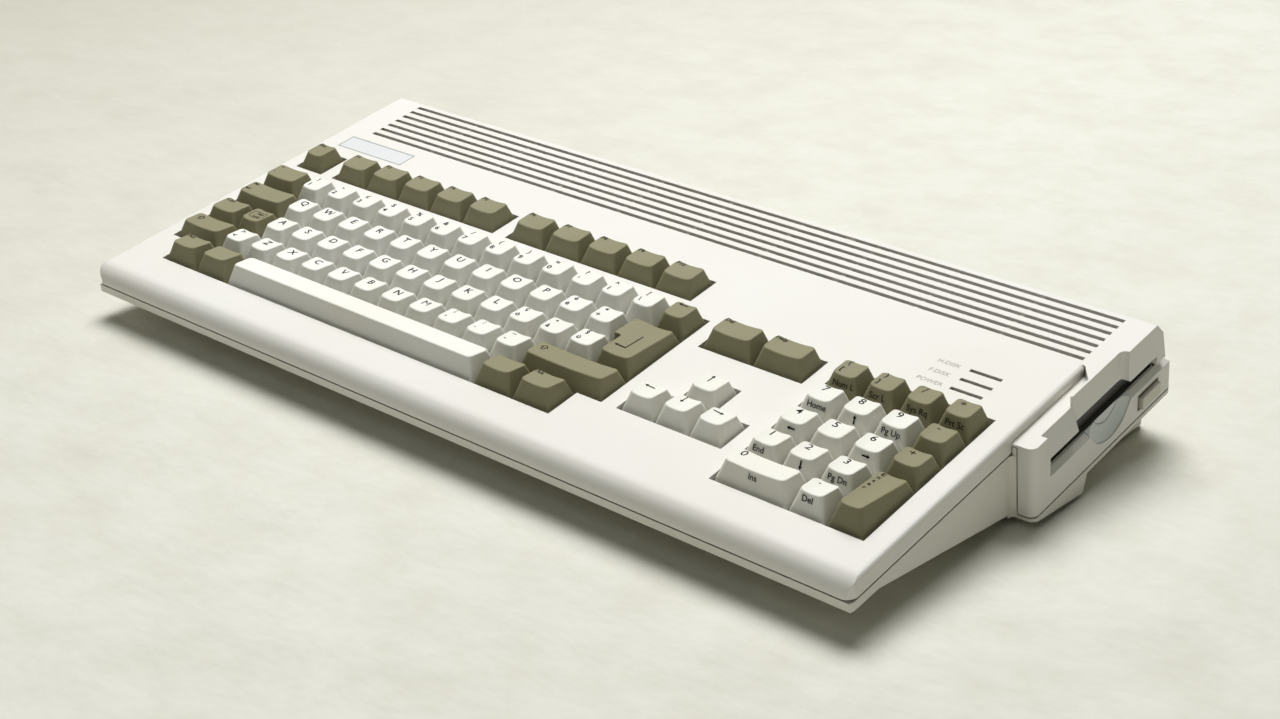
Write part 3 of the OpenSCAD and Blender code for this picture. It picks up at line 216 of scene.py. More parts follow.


# Moulded plastics: a slow drift of tone, fine grain, darkening where faces meet that is partly
# grime and partly painted shade, and painted shadow deep in seams.

plasticBase = {
    "grain": 3000.0,     # scale of the finest texture
    "depth": 0.00003,    # its height, in metres
    "round": 0.0,        # rounding of edges in the shading only
    "grimeAndShadeReach": 0.006,      # how far from a corner grime and painted shade gather
    "shine": 0.32,
    "grimeAndShadeShare": 0.55,
    "paintedSeamShadowShare": 0.9,
    "paintedSeamShadowTone": 0.12,
    "paintedSeamShadowPower": 5.0,
    "wear": 0.16,        # spread of the roughness
}
plastics = {
    "caseUpper": {"tone": (0.80, 0.782, 0.75), "aged": (0.78, 0.758, 0.70),
                  "grimeAndShade": (0.42, 0.38, 0.30), "rough": 0.56,
                  "grain": 2600.0, "depth": 0.000045, "round": 0.0004},
    "caseLower": {"tone": (0.78, 0.758, 0.70), "aged": (0.745, 0.715, 0.635),
                  "grimeAndShade": (0.40, 0.36, 0.28), "rough": 0.58,
                  "grain": 2600.0, "depth": 0.000045, "round": 0.0004},
    "keyWhite": {"tone": (0.85, 0.845, 0.80), "aged": (0.82, 0.80, 0.72),
                 "grimeAndShade": (0.33, 0.335, 0.26), "rough": 0.52,
                 "grain": 4200.0, "depth": 0.00002, "grimeAndShadeReach": 0.011},
    "keyOlive": {"tone": (0.245, 0.232, 0.138), "aged": (0.23, 0.21, 0.118),
                 "grimeAndShade": (0.14, 0.125, 0.075), "rough": 0.60,
                 "grain": 4200.0, "depth": 0.00002},
    "bezelGrey": {"tone": (0.66, 0.63, 0.54), "aged": (0.62, 0.58, 0.48),
                  "grimeAndShade": (0.30, 0.27, 0.20), "rough": 0.45, "round": 0.0003},
    "scoopGrey": {"tone": (0.66, 0.69, 0.68), "aged": (0.62, 0.645, 0.63),
                  "grimeAndShade": (0.25, 0.26, 0.24), "rough": 0.42, "round": 0.0003},
    "badgeEdge": {"tone": (0.40, 0.42, 0.45), "aged": (0.38, 0.39, 0.41),
                  "grimeAndShade": (0.25, 0.25, 0.24), "rough": 0.32,
                  "grain": 1500.0, "depth": 0.00001},
    "badgeGrey": {"tone": (0.74, 0.76, 0.78), "aged": (0.70, 0.71, 0.72),
                  "grimeAndShade": (0.40, 0.38, 0.33), "rough": 0.32,
                  "grain": 1500.0, "depth": 0.00001, "round": 0.0002},
    "blackPlastic": {"tone": (0.030, 0.029, 0.026), "aged": (0.05, 0.047, 0.04),
                     "grimeAndShade": (0.09, 0.08, 0.065), "rough": 0.45},
    "ringRed": {"tone": (0.42, 0.035, 0.03), "aged": (0.36, 0.04, 0.03),
                "grimeAndShade": (0.12, 0.04, 0.03), "rough": 0.4,
                "grain": 2500.0, "depth": 0.00001},
    "ringYellow": {"tone": (0.70, 0.48, 0.04), "aged": (0.60, 0.42, 0.05),
                   "grimeAndShade": (0.25, 0.18, 0.05), "rough": 0.4,
                   "grain": 2500.0, "depth": 0.00001},
    "ringWhite": {"tone": (0.74, 0.73, 0.69), "aged": (0.68, 0.66, 0.60),
                  "grimeAndShade": (0.3, 0.28, 0.24), "rough": 0.4,
                  "grain": 2500.0, "depth": 0.00001},
    "wellBrown": {"tone": (0.060, 0.054, 0.040), "aged": (0.09, 0.08, 0.058),
                  "grimeAndShade": (0.03, 0.026, 0.02), "rough": 0.6},
}


def makePlastic(name):
    spec = {**plasticBase, **plastics[name]}
    finish = Finish(name, {"Specular IOR Level": spec["shine"]})
    drift = finish.ramp(finish.noise(scale=9.0, detail=4.0, rough=0.6), [(0.35, 0.0), (0.75, 1.0)])
    colour = finish.blend(drift, spec["tone"], spec["aged"])
    corner = finish.node("ShaderNodeAmbientOcclusion", {"samples": 6},
                         {"Distance": spec["grimeAndShadeReach"]}, output="AO")
    patches = finish.noise(scale=60.0, detail=5.0, rough=0.65)
    # Where faces meet the colour darkens, partly grime in patches and partly painted shade.
    dustAndShade = (1.0 - corner) * finish.ramp(patches, [(0.25, 0.2), (0.8, 1.0)])
    colour = finish.blend(dustAndShade * spec["grimeAndShadeShare"], colour, spec["grimeAndShade"])
    # Deep in seams and crevices the colour goes nearly black: painted shadow.
    paintedSeamShadow = (1.0 - corner) ** spec["paintedSeamShadowPower"] * spec["paintedSeamShadowShare"]
    colour = finish.blend(paintedSeamShadow, colour, tuple(part * spec["paintedSeamShadowTone"] for part in spec["grimeAndShade"]))
    grain = finish.noise(scale=spec["grain"], detail=2.0, rough=0.6)
    wear = finish.noise(scale=38.0, detail=5.0, rough=0.7)
    edge = None
    if spec["round"]:
        edge = finish.node("ShaderNodeBevel", {"samples": 4}, {"Radius": spec["round"]})
    finish.feed(colour=colour, rough=wear * spec["wear"] + (spec["rough"] - spec["wear"] / 2),
                normal=finish.bump(grain, strength=0.55, distance=spec["depth"], under=edge))
    return finish.made


inkBase = {"shine": 0.08, "worn": 1.6, "wornShare": 0.35, "rough": 0.75, "wear": 0.15}
inks = {
    "legendBlack": (0.012, 0.012, 0.012),
    "legendDark": (0.022, 0.020, 0.014),
    "legendFaint": (0.38, 0.37, 0.33),
}


def makeInk(name):
    tone = inks[name]
    finish = Finish(name, {"Specular IOR Level": inkBase["shine"]})
    patch = finish.noise(scale=900.0, detail=3.0, rough=0.6)
    worn = tuple(part * inkBase["worn"] for part in tone)
    finish.feed(colour=finish.blend(patch * inkBase["wornShare"], tone, worn),
                rough=patch * inkBase["wear"] + inkBase["rough"],
                normal=finish.bump(patch, strength=0.3, distance=0.00001))
    return finish.made


# Metals, rubber, boards and films

metalBase = {"spotWear": 0.18, "lineWear": 0.12, "under": 0.06}   # spread of the roughness
metals = {
    "zincSteel": {"tone": (0.55, 0.56, 0.56), "dull": (0.36, 0.36, 0.35), "rough": 0.34,
                  "brush": (1.0, 14.0, 1.0)},
    "shieldTin": {"tone": (0.17, 0.16, 0.13), "dull": (0.11, 0.10, 0.08), "rough": 0.55,
                  "brush": (1.0, 9.0, 1.0)},
    "portMetal": {"tone": (0.62, 0.61, 0.58), "dull": (0.42, 0.40, 0.36), "rough": 0.28,
                  "brush": (6.0, 1.0, 1.0)},
}


def makeMetal(name):
    spec = {**metalBase, **metals[name]}
    finish = Finish(name, {"Metallic": 1.0})
    lines = finish.noise(scale=420.0, detail=4.0, rough=0.6, stretch=spec["brush"])
    spots = finish.ramp(finish.noise(scale=45.0, detail=6.0, rough=0.7), [(0.35, 0.0), (0.7, 1.0)])
    finish.feed(colour=finish.blend(spots, spec["tone"], spec["dull"]),
                rough=spots * spec["spotWear"] + lines * spec["lineWear"]
                + (spec["rough"] - spec["under"]),
                normal=finish.bump(lines, strength=0.25, distance=0.00003))
    return finish.made


board = {
    "base": (0.018, 0.10, 0.042),
    "track": (0.05, 0.20, 0.085),
    "pad": (0.55, 0.53, 0.48),
    "bricks": {"Scale": 90.0, "Mortar Size": 0.012, "Brick Width": 1.7, "Row Height": 0.16},
    "padScale": 210.0,
    "padStops": [(0.0, 1.0), (0.16, 1.0), (0.2, 0.0)],
    "rough": 0.42,
    "padSmoother": 0.12,
    "padMetal": 0.8,
}


def makeBoard(name):
    finish = Finish(name, {"Specular IOR Level": 0.5})
    tracks = finish.node("ShaderNodeTexBrick", {"offset": 0.37},
                         {"Vector": finish.place(), **board["bricks"]}, output="Fac")
    pads = finish.node("ShaderNodeTexVoronoi", {},
                       {"Vector": finish.place(), "Scale": board["padScale"]})
    ring = finish.ramp(pads, board["padStops"])
    colour = finish.blend(tracks, board["base"], board["track"])
    colour = finish.blend(ring, colour, board["pad"])
    finish.feed(colour=colour, rough=board["rough"] - ring * board["padSmoother"],
                metal=ring * board["padMetal"],
                normal=finish.bump(tracks + ring, strength=0.5, distance=0.00004))
    return finish.made


chip = {"dark": (0.018, 0.018, 0.019), "dusty": (0.05, 0.05, 0.052), "rough": 0.45, "wear": 0.2}


def makeChip(name):
    finish = Finish(name, {"Specular IOR Level": 0.35})
    grain = finish.noise(scale=1800.0, detail=3.0, rough=0.7)
    cloud = finish.noise(scale=70.0, detail=3.0, rough=0.5)
    finish.feed(colour=finish.blend(cloud, chip["dark"], chip["dusty"]),
                rough=cloud * chip["wear"] + chip["rough"],
                normal=finish.bump(grain, strength=0.4, distance=0.00003))
    return finish.made


rubberWear = 0.12
rubbers = {
    "footRubber": {"tone": (0.075, 0.070, 0.062), "worn": (0.16, 0.15, 0.135), "rough": 0.78},
    "sheetRubber": {"tone": (0.36, 0.37, 0.31), "worn": (0.46, 0.46, 0.40), "rough": 0.7},
}


def makeRubber(name):
    spec = rubbers[name]
    finish = Finish(name, {"Specular IOR Level": 0.3})
    cloud = finish.ramp(finish.noise(scale=120.0, detail=5.0, rough=0.7), [(0.4, 0.0), (0.75, 1.0)])
    grain = finish.noise(scale=1500.0, detail=3.0, rough=0.6)
    finish.feed(colour=finish.blend(cloud, spec["tone"], spec["worn"]),
                rough=cloud * rubberWear + spec["rough"] - rubberWear / 2,
                normal=finish.bump(grain, strength=0.5, distance=0.00006))
    return finish.made


film = {"clear": (0.36, 0.58, 0.42), "track": (0.60, 0.62, 0.60), "rough": 0.28, "wear": 0.15}


def makeFilm(name):
    finish = Finish(name, {"Specular IOR Level": 0.5, "Coat Weight": 0.3})
    lines = finish.node("ShaderNodeTexWave", {"bands_direction": "DIAGONAL"},
                        {"Vector": finish.place(), "Scale": 140.0, "Distortion": 3.0})
    tracks = finish.ramp(lines, [(0.42, 0.0), (0.5, 1.0)])
    finish.feed(colour=finish.blend(tracks, film["clear"], film["track"]),
                rough=film["rough"] + tracks * film["wear"],
                normal=finish.bump(tracks, strength=0.3, distance=0.00002))
    return finish.made


ribbon = {"gap": (0.20, 0.21, 0.22), "core": (0.42, 0.43, 0.44), "rough": 0.5, "wear": 0.1}


def makeRibbon(name):
    finish = Finish(name, {"Specular IOR Level": 0.4})
    cores = finish.node("ShaderNodeTexWave", {"bands_direction": "X", "wave_profile": "SIN"},
                        {"Vector": finish.place(), "Scale": 250.0})
    finish.feed(colour=finish.blend(cores, ribbon["gap"], ribbon["core"]),
                rough=ribbon["rough"] + cores * ribbon["wear"],
                normal=finish.bump(cores, strength=0.6, distance=0.0003))
    return finish.made


cloth = {
    "size": 9.0,         # half the floor's width, in metres
    "low": (0.70, 0.69, 0.615),
    "high": (0.79, 0.785, 0.725),
    "mark": (0.62, 0.605, 0.52),
    "markShare": 0.5,
    # The cloth is made darker towards the left.
    "left": (0.50, 0.485, 0.41),
    "leftFrom": 0.75,
    "leftStops": [(0.0, 0.75), (0.7, 0.0)],
    "far": (0.93, 0.925, 0.86),
    "farStops": [(0.11, 0.0), (0.2, 0.36), (0.3, 0.6), (0.5, 0.79), (0.9, 0.86)],
    "rough": 0.82,
    "wear": 0.1,
}


def makeFloorCloth():
    finish = Finish("floorCloth", {"Specular IOR Level": 0.15, "Emission Strength": 1.0})
    folds = finish.noise(scale=5.5, detail=5.0, rough=0.55, stretch=(1.0, 1.6, 1.0))
    marks = finish.ramp(finish.noise(scale=26.0, detail=6.0, rough=0.7), [(0.42, 0.0), (0.72, 1.0)])
    weave = finish.noise(scale=900.0, detail=2.0, rough=0.5)
    colour = finish.blend(folds, cloth["low"], cloth["high"])
    colour = finish.blend(marks * cloth["markShare"], colour, cloth["mark"])
    # The cloth is made darker towards the left.
    across = finish.node("ShaderNodeSeparateXYZ", {}, {"Vector": finish.place()}, output="X")
    left = finish.ramp(across + cloth["leftFrom"], cloth["leftStops"])
    colour = finish.blend(left, colour, cloth["left"])
    # Far from the object, where the lamps fall off, the floor stays pale for the camera.
    distance = finish.node("ShaderNodeVectorMath", {"operation": "LENGTH"}, {0: finish.place()},
                           output="Value")
    far = finish.ramp(distance / cloth["size"], cloth["farStops"])
    seen = finish.node("ShaderNodeLightPath", output="Is Camera Ray")
    under = finish.bump(folds, strength=0.35, distance=0.02)
    finish.feed(colour=colour, rough=marks * cloth["wear"] + cloth["rough"],
                normal=finish.bump(weave, strength=0.35, distance=0.0002, under=under),
                glow=finish.blend(far * seen, (0.0, 0.0, 0.0), cloth["far"]))
    return finish.made


def makeFloor():
    bm = bmesh.new()
    bmesh.ops.create_grid(bm, x_segments=2, y_segments=2, size=cloth["size"])
    mesh = bpy.data.meshes.new("floor")
    bm.to_mesh(mesh)
    bm.free()
    mesh.materials.append(makeFloorCloth())
    floor = bpy.data.objects.new("floor", mesh)
    scene.collection.objects.link(floor)


finishMakers = (
    (makePlastic, plastics),
    (makeMetal, metals),
    (makeRubber, rubbers),
    (makeBoard, ("circuitBoard",)),
    (makeChip, ("chipBlack",)),
    (makeFilm, ("contactFilm",)),
    (makeRibbon, ("ribbonGrey",)),
    (makeInk, inks),
)
finishes = {name: maker(name) for maker, names in finishMakers for name in names}
makeCamera()
makeLamps()
makeRoom()
makeFloor()
print("camera, lamps, room, floor and finishes made")


# Mesh tools

shading = {
    # Angles in degrees above which an edge stays sharp.
    "made": 35.0,
    "thin": 50.0,        # letters, rods and rings
    "copied": 28.0,
    "topCase": 42.0,
    "weight": 80,
}
weld = {"near": 0.000003, "tiny": 0.000002, "cut": 0.000001}   # in metres
cutNear = 0.0001   # in millimetres


def shadeByAngle(bm, crease):
    sharp = math.radians(crease)
    for face in bm.faces:
        face.smooth = True
    for edge in bm.edges:
        edge.smooth = len(edge.link_faces) == 2 and edge.calc_face_angle(0.0) < sharp


def cutMesh(bm, point, normal, dist=cutNear, **more):
    geom = bm.verts[:] + bm.edges[:] + bm.faces[:]
    return bmesh.ops.bisect_plane(bm, geom=geom, dist=dist, plane_co=point, plane_no=normal,
                                  **more)["geom_cut"]


def finishPiece(name, bm, finish, body, crease=shading["made"]):
    # A bmesh in metres becomes a shown piece that moves with a body.
    shadeByAngle(bm, crease)
    mesh = bpy.data.meshes.new(name)
    bm.to_mesh(mesh)
    bm.free()
    mesh.materials.append(finishes[finish])
    piece = bpy.data.objects.new(name, mesh)
    scene.collection.objects.link(piece)
    keep = piece.modifiers.new("flatFaces", "WEIGHTED_NORMAL")
    keep.keep_sharp = True
    keep.weight = shading["weight"]
    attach(piece, body)
    return piece


def mergedCopy(node):
    bm = bmesh.new()
    bm.from_mesh(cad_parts[node].data)
    bmesh.ops.remove_doubles(bm, verts=bm.verts, dist=weld["near"])
    bmesh.ops.dissolve_degenerate(bm, edges=bm.edges, dist=weld["tiny"])
    return bm


def smoothNode(node, name, finish, body="case", crease=shading["copied"]):
    # The CAD shape as one smooth-shaded mesh, in two finishes where part has another colour.
    bm = mergedCopy(node)
    second = secondFinish.get(node)
    if second:
        for point, normal in second["cuts"]:
            cutMesh(bm, point, normal, weld["cut"])
        for face in bm.faces:
            face.material_index = 1 if second["where"](face) else 0
    piece = finishPiece(name, bm, finish, body, crease)
    if second:
        piece.data.materials.append(finishes[second["finish"]])
    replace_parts(piece, node)


# Pieces in two finishes

slotLow = -22.9   # the disk slot's lower edge, in millimetres from the deck
dPort = {
    "insert": 0.6,       # how far the plastic of a socket lies behind the metal's end
    "well": 5.5,         # depth of a plug's well
    "near": 0.1,
    "flangeHalf": 6.25,
    "pitch": 2.76,
    "rowHalf": 1.4,      # from the middle to a row of contacts
    "contact": 0.42,     # radius
    "contactDeep": 0.1,
    "contactOut": 0.03,
    "contactSides": 8,
    "sockets": {"disk_port": 12, "parallel_port": 13},
}
facing = 0.9   # how nearly a face must look along an axis to count
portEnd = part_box("disk_port")[1][1]
badgeBorder = 0.7   # width of the badge's darker border
toDeck = deckPlace.inverted()


def driveBlackAndShade(face):
    # Everything of the drive's front over the finger scoop, which is black: partly the drive's own
    # dark plastic and partly painted shade inside the disk slot.
    return (toDeck @ face.calc_center_median()).z / mm > slotLow


def portBlack(face):
    # The plastic at the front of a socket and at the bottom of a plug's well.
    back = (portEnd - face.calc_center_median().y) / mm
    off = min(abs(back - dPort["insert"]), abs(back - dPort["well"]))
    return face.normal.y > facing and off < dPort["near"]


def badgeInner():
    # The badge's plain middle in the deck's frame: low and high corners, in millimetres.
    corners = [(toDeck @ vert.co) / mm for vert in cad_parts["badge_plate"].data.vertices]
    low = [min(corner[axis] for corner in corners) + badgeBorder for axis in (0, 1)]
    high = [max(corner[axis] for corner in corners) - badgeBorder for axis in (0, 1)]
    return low, high


badgeLow, badgeHigh = badgeInner()


def onBadgeBorder(face):
    middle = (toDeck @ face.calc_center_median()) / mm
    return any(not badgeLow[axis] < middle[axis] < badgeHigh[axis] for axis in (0, 1))


def deckCut(point, normal):
    # A plane in the deck's frame, in millimetres, turned into one in metres.
    return deckFromMm @ Vector(point), deckTurn @ Vector(normal)


secondFinish = {
    "badge_plate": {
        "finish": "badgeEdge",
        "where": onBadgeBorder,
        "cuts": [deckCut((*corner, 0.0), normal) for corner in (badgeLow, badgeHigh)
                 for normal in ((1.0, 0.0, 0.0), (0.0, 1.0, 0.0))],
    },
    # The drive's front over the scoop is black, partly its own plastic and partly painted shade
    # inside the slot.
    "drive_bezel": {
        "finish": "blackPlastic",
        "where": driveBlackAndShade,
        "cuts": [deckCut((0.0, 0.0, slotLow), (0.0, 0.0, 1.0))],
    },
}
for node in ("disk_port", "serial_port", "parallel_port", "video_port", "controller_ports"):
    secondFinish[node] = {"finish": "blackPlastic", "where": portBlack, "cuts": []}


def paintNode(node, finish):
    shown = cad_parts[node]
    if not shown.material_slots:
        shown.data.materials.append(None)
    for each in shown.material_slots:
        each.material = finishes[finish]


def vertsOf(faces):
    # Each vertex once, and always in the same order.
    return list(dict.fromkeys(vert for face in faces for vert in face.verts))


def openRing(bm, faces):
    # Opposite inset faces become the two ends of a hole.
    rims = [edge for face in faces for edge in face.edges]
    bmesh.ops.delete(bm, geom=faces, context="FACES_ONLY")
    bmesh.ops.bridge_loops(bm, edges=rims)


def putBox(bm, x0, x1, y0, y1, z0, z1):
    made = bmesh.ops.create_cube(bm, size=1.0)["verts"]
    bmesh.ops.scale(bm, verts=made, vec=(x1 - x0, y1 - y0, z1 - z0))
    bmesh.ops.translate(bm, verts=made, vec=((x0 + x1) / 2, (y0 + y1) / 2, (z0 + z1) / 2))


# Keys. Sizes are in millimetres in the deck's frame: x to the right, s towards the rear and
# n up from the deck.

cap = {
    "pitch": 19.05,
    "firstX": -23.5 * 19.05 / 2,   # left end of 23.5 pitches about the middle
    "gap": 0.45,
    "skirt": 2.5,
    "sideTaper": 3.5,
    "sideTaperAt": 7.2,
    "frontTaper": 5.2,
    "rearTaper": 1.9,
    "rowHeight": (7.6, 8.1, 6.8, 6.4, 6.7, 7.7),
    "rowTilt": (0.0, 2.0, 4.0, 5.0, 8.0, 10.0),
    "rowStart": (105.25, 76.2, 57.15, 38.1, 19.05, 0.0),
    "dish": 0.9,
    "corner": 2.3,
    "cornerSteps": 4,
    "lowCorner": 0.55,   # how far the skirt's corners are drawn back out
    "cornerReach": 1.6,  # in corner radii
    "upright": 0.75,     # share of an edge's length that rises
    "ear": 0.25,         # how far the return key's rear half sticks out, in key pitches
    "earBehind": 1.6,
    "earLean": 0.16,
    "earCorner": 1.3,
    "earNear": 4.0,
    "flat": 0.5,         # degrees between faces that are joined into one
    "rim": 0.6,
    "rimSteps": 3,
    "strip": 1.25,       # width of the strips that the dish is cut into
    "stripsLeast": 6,
    "stripsMost": 26,
    "wall": 1.3,
    "roof": 2.6,
    "roofLess": 6.0,
    "roofBack": 1.5,
    "stem": 5.0,
    "stemEnd": -8.4,
    "stemUp": 0.6,       # how far a stem goes into the roof
    "spaceStems": 3.5,   # from the space bar's middle to its outer stems, in key pitches
}
capFacing = 0.8   # how nearly a cap's leaning face must look along an axis to count


class CapForm:
    # The sizes of one keycap and the height of its top at any place.
    def __init__(self, u, width, row, rows=1, dished=True, ear=0.0):
        self.x0 = cap["firstX"] + u * cap["pitch"] + cap["gap"]
        self.x1 = cap["firstX"] + (u + width) * cap["pitch"] - cap["gap"]
        self.s0 = cap["rowStart"][row] + cap["gap"]
        self.s1 = cap["rowStart"][row] + rows * cap["pitch"] - cap["gap"]
        self.middle = cap["rowHeight"][row]
        self.slope = math.tan(math.radians(cap["rowTilt"][row]))
        self.front = self.s0 - cap["gap"] + cap["frontTaper"]
        self.rear = self.s1 + cap["gap"] - cap["rearTaper"]
        self.topX0 = self.x0 - cap["gap"] + cap["sideTaper"]
        self.topX1 = self.x1 + cap["gap"] - cap["sideTaper"]
        self.dish = cap["dish"] if dished else 0.0
        self.ear = ear * cap["pitch"]
        self.earAt = self.s0 + cap["pitch"]

    def plane(self, s):
        return self.middle + self.slope * ((self.front + self.rear) / 2 - s)

    def top(self, x, s):
        across = 2 * x - self.topX0 - self.topX1
        return self.plane(s) - self.dish * max(0.0, 1 - (across / (self.topX1 - self.topX0)) ** 2)

    def side(self, n):
        taper = (cap["sideTaper"] - cap["gap"]) / (cap["sideTaperAt"] + cap["skirt"])
        return taper * (n + cap["skirt"])


def taperedBox(bm, form):
    # Four-sided cap with its sloping top, before any rounding.
    verts = bmesh.ops.create_cube(bm, size=2.0)["verts"]
    for vert in verts:
        right, rear, high = vert.co.x > 0, vert.co.y > 0, vert.co.z > 0
        s = (form.rear if rear else form.front) if high else (form.s1 if rear else form.s0)
        n = form.plane(s) if high else -cap["skirt"]
        x = form.x1 - form.side(n) if right else form.x0 + form.side(n)
        vert.co = (x, s, n)


def addEar(bm, form):
    # The return key's rear half reaches further to the left.
    cut = form.earAt + cap["earBehind"]
    cutMesh(bm, (0.0, cut, 0.0), (0.0, 1.0, cap["earLean"]))
    left = [face for face in bm.faces
            if face.normal.x < -capFacing and face.calc_center_median().y > cut]
    made = bmesh.ops.extrude_discrete_faces(bm, faces=left)["faces"]
    bmesh.ops.translate(bm, verts=vertsOf(made), vec=(-form.ear, 0.0, 0.0))
    bmesh.ops.dissolve_limit(bm, angle_limit=math.radians(cap["flat"]), verts=bm.verts,
                             edges=bm.edges, use_dissolve_boundaries=False)


def roundEdges(bm, edges, radius, steps, clamp=True):
    bmesh.ops.bevel(bm, geom=edges, offset=radius, offset_type="OFFSET", segments=steps,
                    profile=0.5, affect="EDGES", clamp_overlap=clamp, material=-1)


def roundCorners(bm, form):
    feet = [vert.co.copy() for vert in bm.verts if vert.co.z < 0]
    for atEar in (False, True):
        upright = []
        for edge in bm.edges:
            start, end = (vert.co for vert in edge.verts)
            nearEar = form.ear > 0 and abs(start.y - form.earAt) < cap["earNear"]
            if abs(start.z - end.z) > cap["upright"] * edge.calc_length() and nearEar == atEar:
                upright.append(edge)
        radius = cap["earCorner"] if atEar else cap["corner"]
        roundEdges(bm, upright, radius, cap["cornerSteps"])
    for vert in bm.verts:
        if vert.co.z < 0:
            nearest = min(feet, key=lambda foot: (foot - vert.co).length)
            if (nearest - vert.co).length < cap["cornerReach"] * cap["corner"]:
                vert.co = vert.co.lerp(nearest, cap["lowCorner"])


def cutDish(bm, form):
    wide = form.topX1 - form.topX0
    count = max(cap["stripsLeast"], min(cap["stripsMost"], round(wide / cap["strip"])))
    for step in range(1, count):
        cutMesh(bm, (form.topX0 + wide * step / count, 0.0, 0.0), (1.0, 0.0, 0.0))
    for vert in bm.verts:
        if vert.co.z > 0:
            vert.co.z += form.top(vert.co.x, vert.co.y) - form.plane(vert.co.y)


def roundRim(bm):
    bm.normal_update()
    tops = {face for face in bm.faces if face.normal.z > capFacing}
    rim = [edge for edge in bm.edges if len(edge.link_faces) == 2
           and (edge.link_faces[0] in tops) != (edge.link_faces[1] in tops)]
    roundEdges(bm, rim, cap["rim"], cap["rimSteps"], clamp=False)


def hollowCap(bm, form):
    bm.normal_update()
    under = [face for face in bm.faces if face.normal.z < -facing]
    bmesh.ops.delete(bm, geom=under, context="FACES")
    edges = [edge for edge in bm.edges if edge.is_boundary]
    floor = bmesh.ops.contextual_create(bm, geom=edges)["faces"]
    bmesh.ops.inset_region(bm, faces=floor, thickness=cap["wall"], use_even_offset=True)
    roof = bmesh.ops.extrude_discrete_faces(bm, faces=floor)["faces"]
    verts = vertsOf(roof)
    lift = min(form.plane(form.front), form.plane(form.rear)) - cap["roof"] + cap["skirt"]
    middle = sum((vert.co for vert in verts), Vector()) / len(verts)
    wide = 1 - 2 * form.side(lift - cap["skirt"]) / (form.x1 - form.x0)
    deep = 1 - cap["roofLess"] / (form.s1 - form.s0)
    bmesh.ops.scale(bm, verts=verts, vec=(wide, deep, 1.0), space=Matrix.Translation(-middle))
    bmesh.ops.translate(bm, verts=verts, vec=(0.0, cap["roofBack"], lift))


def makeCap(form, stems):
    bm = bmesh.new()
    taperedBox(bm, form)
    if form.ear:
        addEar(bm, form)
    roundCorners(bm, form)
    roundRim(bm)
    if form.dish:
        cutDish(bm, form)
    hollowCap(bm, form)
    half, s = cap["stem"] / 2, (form.s0 + form.s1) / 2
    for x in stems:
        putBox(bm, x - half, x + half, s - half, s + half, cap["stemEnd"],
               form.middle - cap["roof"] + cap["stemUp"])
    bmesh.ops.recalc_face_normals(bm, faces=bm.faces)
    return bm


# Legends. Text is drawn flat, then laid on the cap's dished top or on its front wall.

legend = {
    "capHeight": 0.686,  # height of a capital in a font of size 1
    "thick": 0.03,
    "lift": 0.045,
    "curveSteps": 3,
    "weld": 0.0005,
    "letter": {"size": 3.9, "x": 4.5, "s": 8.0, "bold": 0.07},
    "digit": {"size": 4.0, "x": 4.0, "s": 9.1, "bold": 0.04},
    "main": {"size": 2.8, "x": 2.4, "s": 4.0, "bold": 0.08},
    "shifted": {"size": 2.8, "x": 3.0, "s": 9.8, "bold": 0.08},
    "word": {"size": 2.2, "x": 0.9, "s": 9.2, "bold": 0.07},
    "face": {"size": 2.7, "x": 1.5, "s": 6.0, "bold": 0.02},
    # Signs whose strokes would close up, and front words that sit elsewhere.
    "thin": {"M": 0.0, "£": 0.04, "$": 0.04},
    "moved": {"Ins": (13.6, 7.4), "Del": (2.4, 7.4)},
    # Signs drawn larger or elsewhere: size, and how far back from a letter's place.
    "large": {"⇧": (3.4, 0.0), "←": (5.4, 2.2)},
}
textHolder = bpy.data.objects.new("textHolder", bpy.data.curves.new("textHolder", "FONT"))
scene.collection.objects.link(textHolder)


def flatText(text, height, bold=0.0, middle=True):
    # Letters as thin closed plates, lying flat around the origin, in millimetres.
    curve = textHolder.data
    curve.body = text
    curve.size = height / legend["capHeight"]
    curve.extrude = legend["thick"] / 2
    curve.offset = bold
    curve.resolution_u = legend["curveSteps"]
    curve.align_x = "CENTER" if middle else "LEFT"
    bpy.context.view_layer.update()
    drawn = textHolder.evaluated_get(bpy.context.evaluated_depsgraph_get())
    bm = bmesh.new()
    bm.from_mesh(drawn.to_mesh())
    drawn.to_mesh_clear()
    bmesh.ops.remove_doubles(bm, verts=bm.verts, dist=legend["weld"])
    if middle:
        heights = [vert.co.y for vert in bm.verts] or [0.0]
        back = -(min(heights) + max(heights)) / 2
        bmesh.ops.translate(bm, verts=bm.verts, vec=(0.0, back, 0.0))
    return bm


def putPlate(bm, x0, x1, y0, y1):
    putBox(bm, x0, x1, y0, y1, -legend["thick"] / 2, legend["thick"] / 2)


def turnFlat(bm, verts, angle):
    turn = Matrix.Rotation(math.radians(angle), 3, "Z")
    bmesh.ops.rotate(bm, verts=verts, matrix=turn)


arrow = {
    "turns": {"→": 0.0, "↑": 90.0, "←": 180.0, "↓": -90.0},
    "overlap": 0.2,
    # Length; shaft and head as parts of it.
    "top": (5.6, 0.1, 0.2),
    "front": (4.1, 0.17, 0.24),
    "frontAt": (7.0, 7.2),
}


def arrowSign(length, shaft, head):
    # An arrow to the right with a solid head.
    bm = bmesh.new()
    radius = head * length
    back = length / 2 - 1.5 * radius
    putPlate(bm, -length / 2, back + arrow["overlap"], -shaft * length / 2, shaft * length / 2)
    tip = bmesh.ops.create_cone(bm, cap_ends=True, segments=3, radius1=radius, radius2=radius,
                                depth=legend["thick"])["verts"]
    turnFlat(bm, tip, -90.0)
    bmesh.ops.translate(bm, verts=tip, vec=(length / 2 - radius, 0.0, 0.0))
    return bm


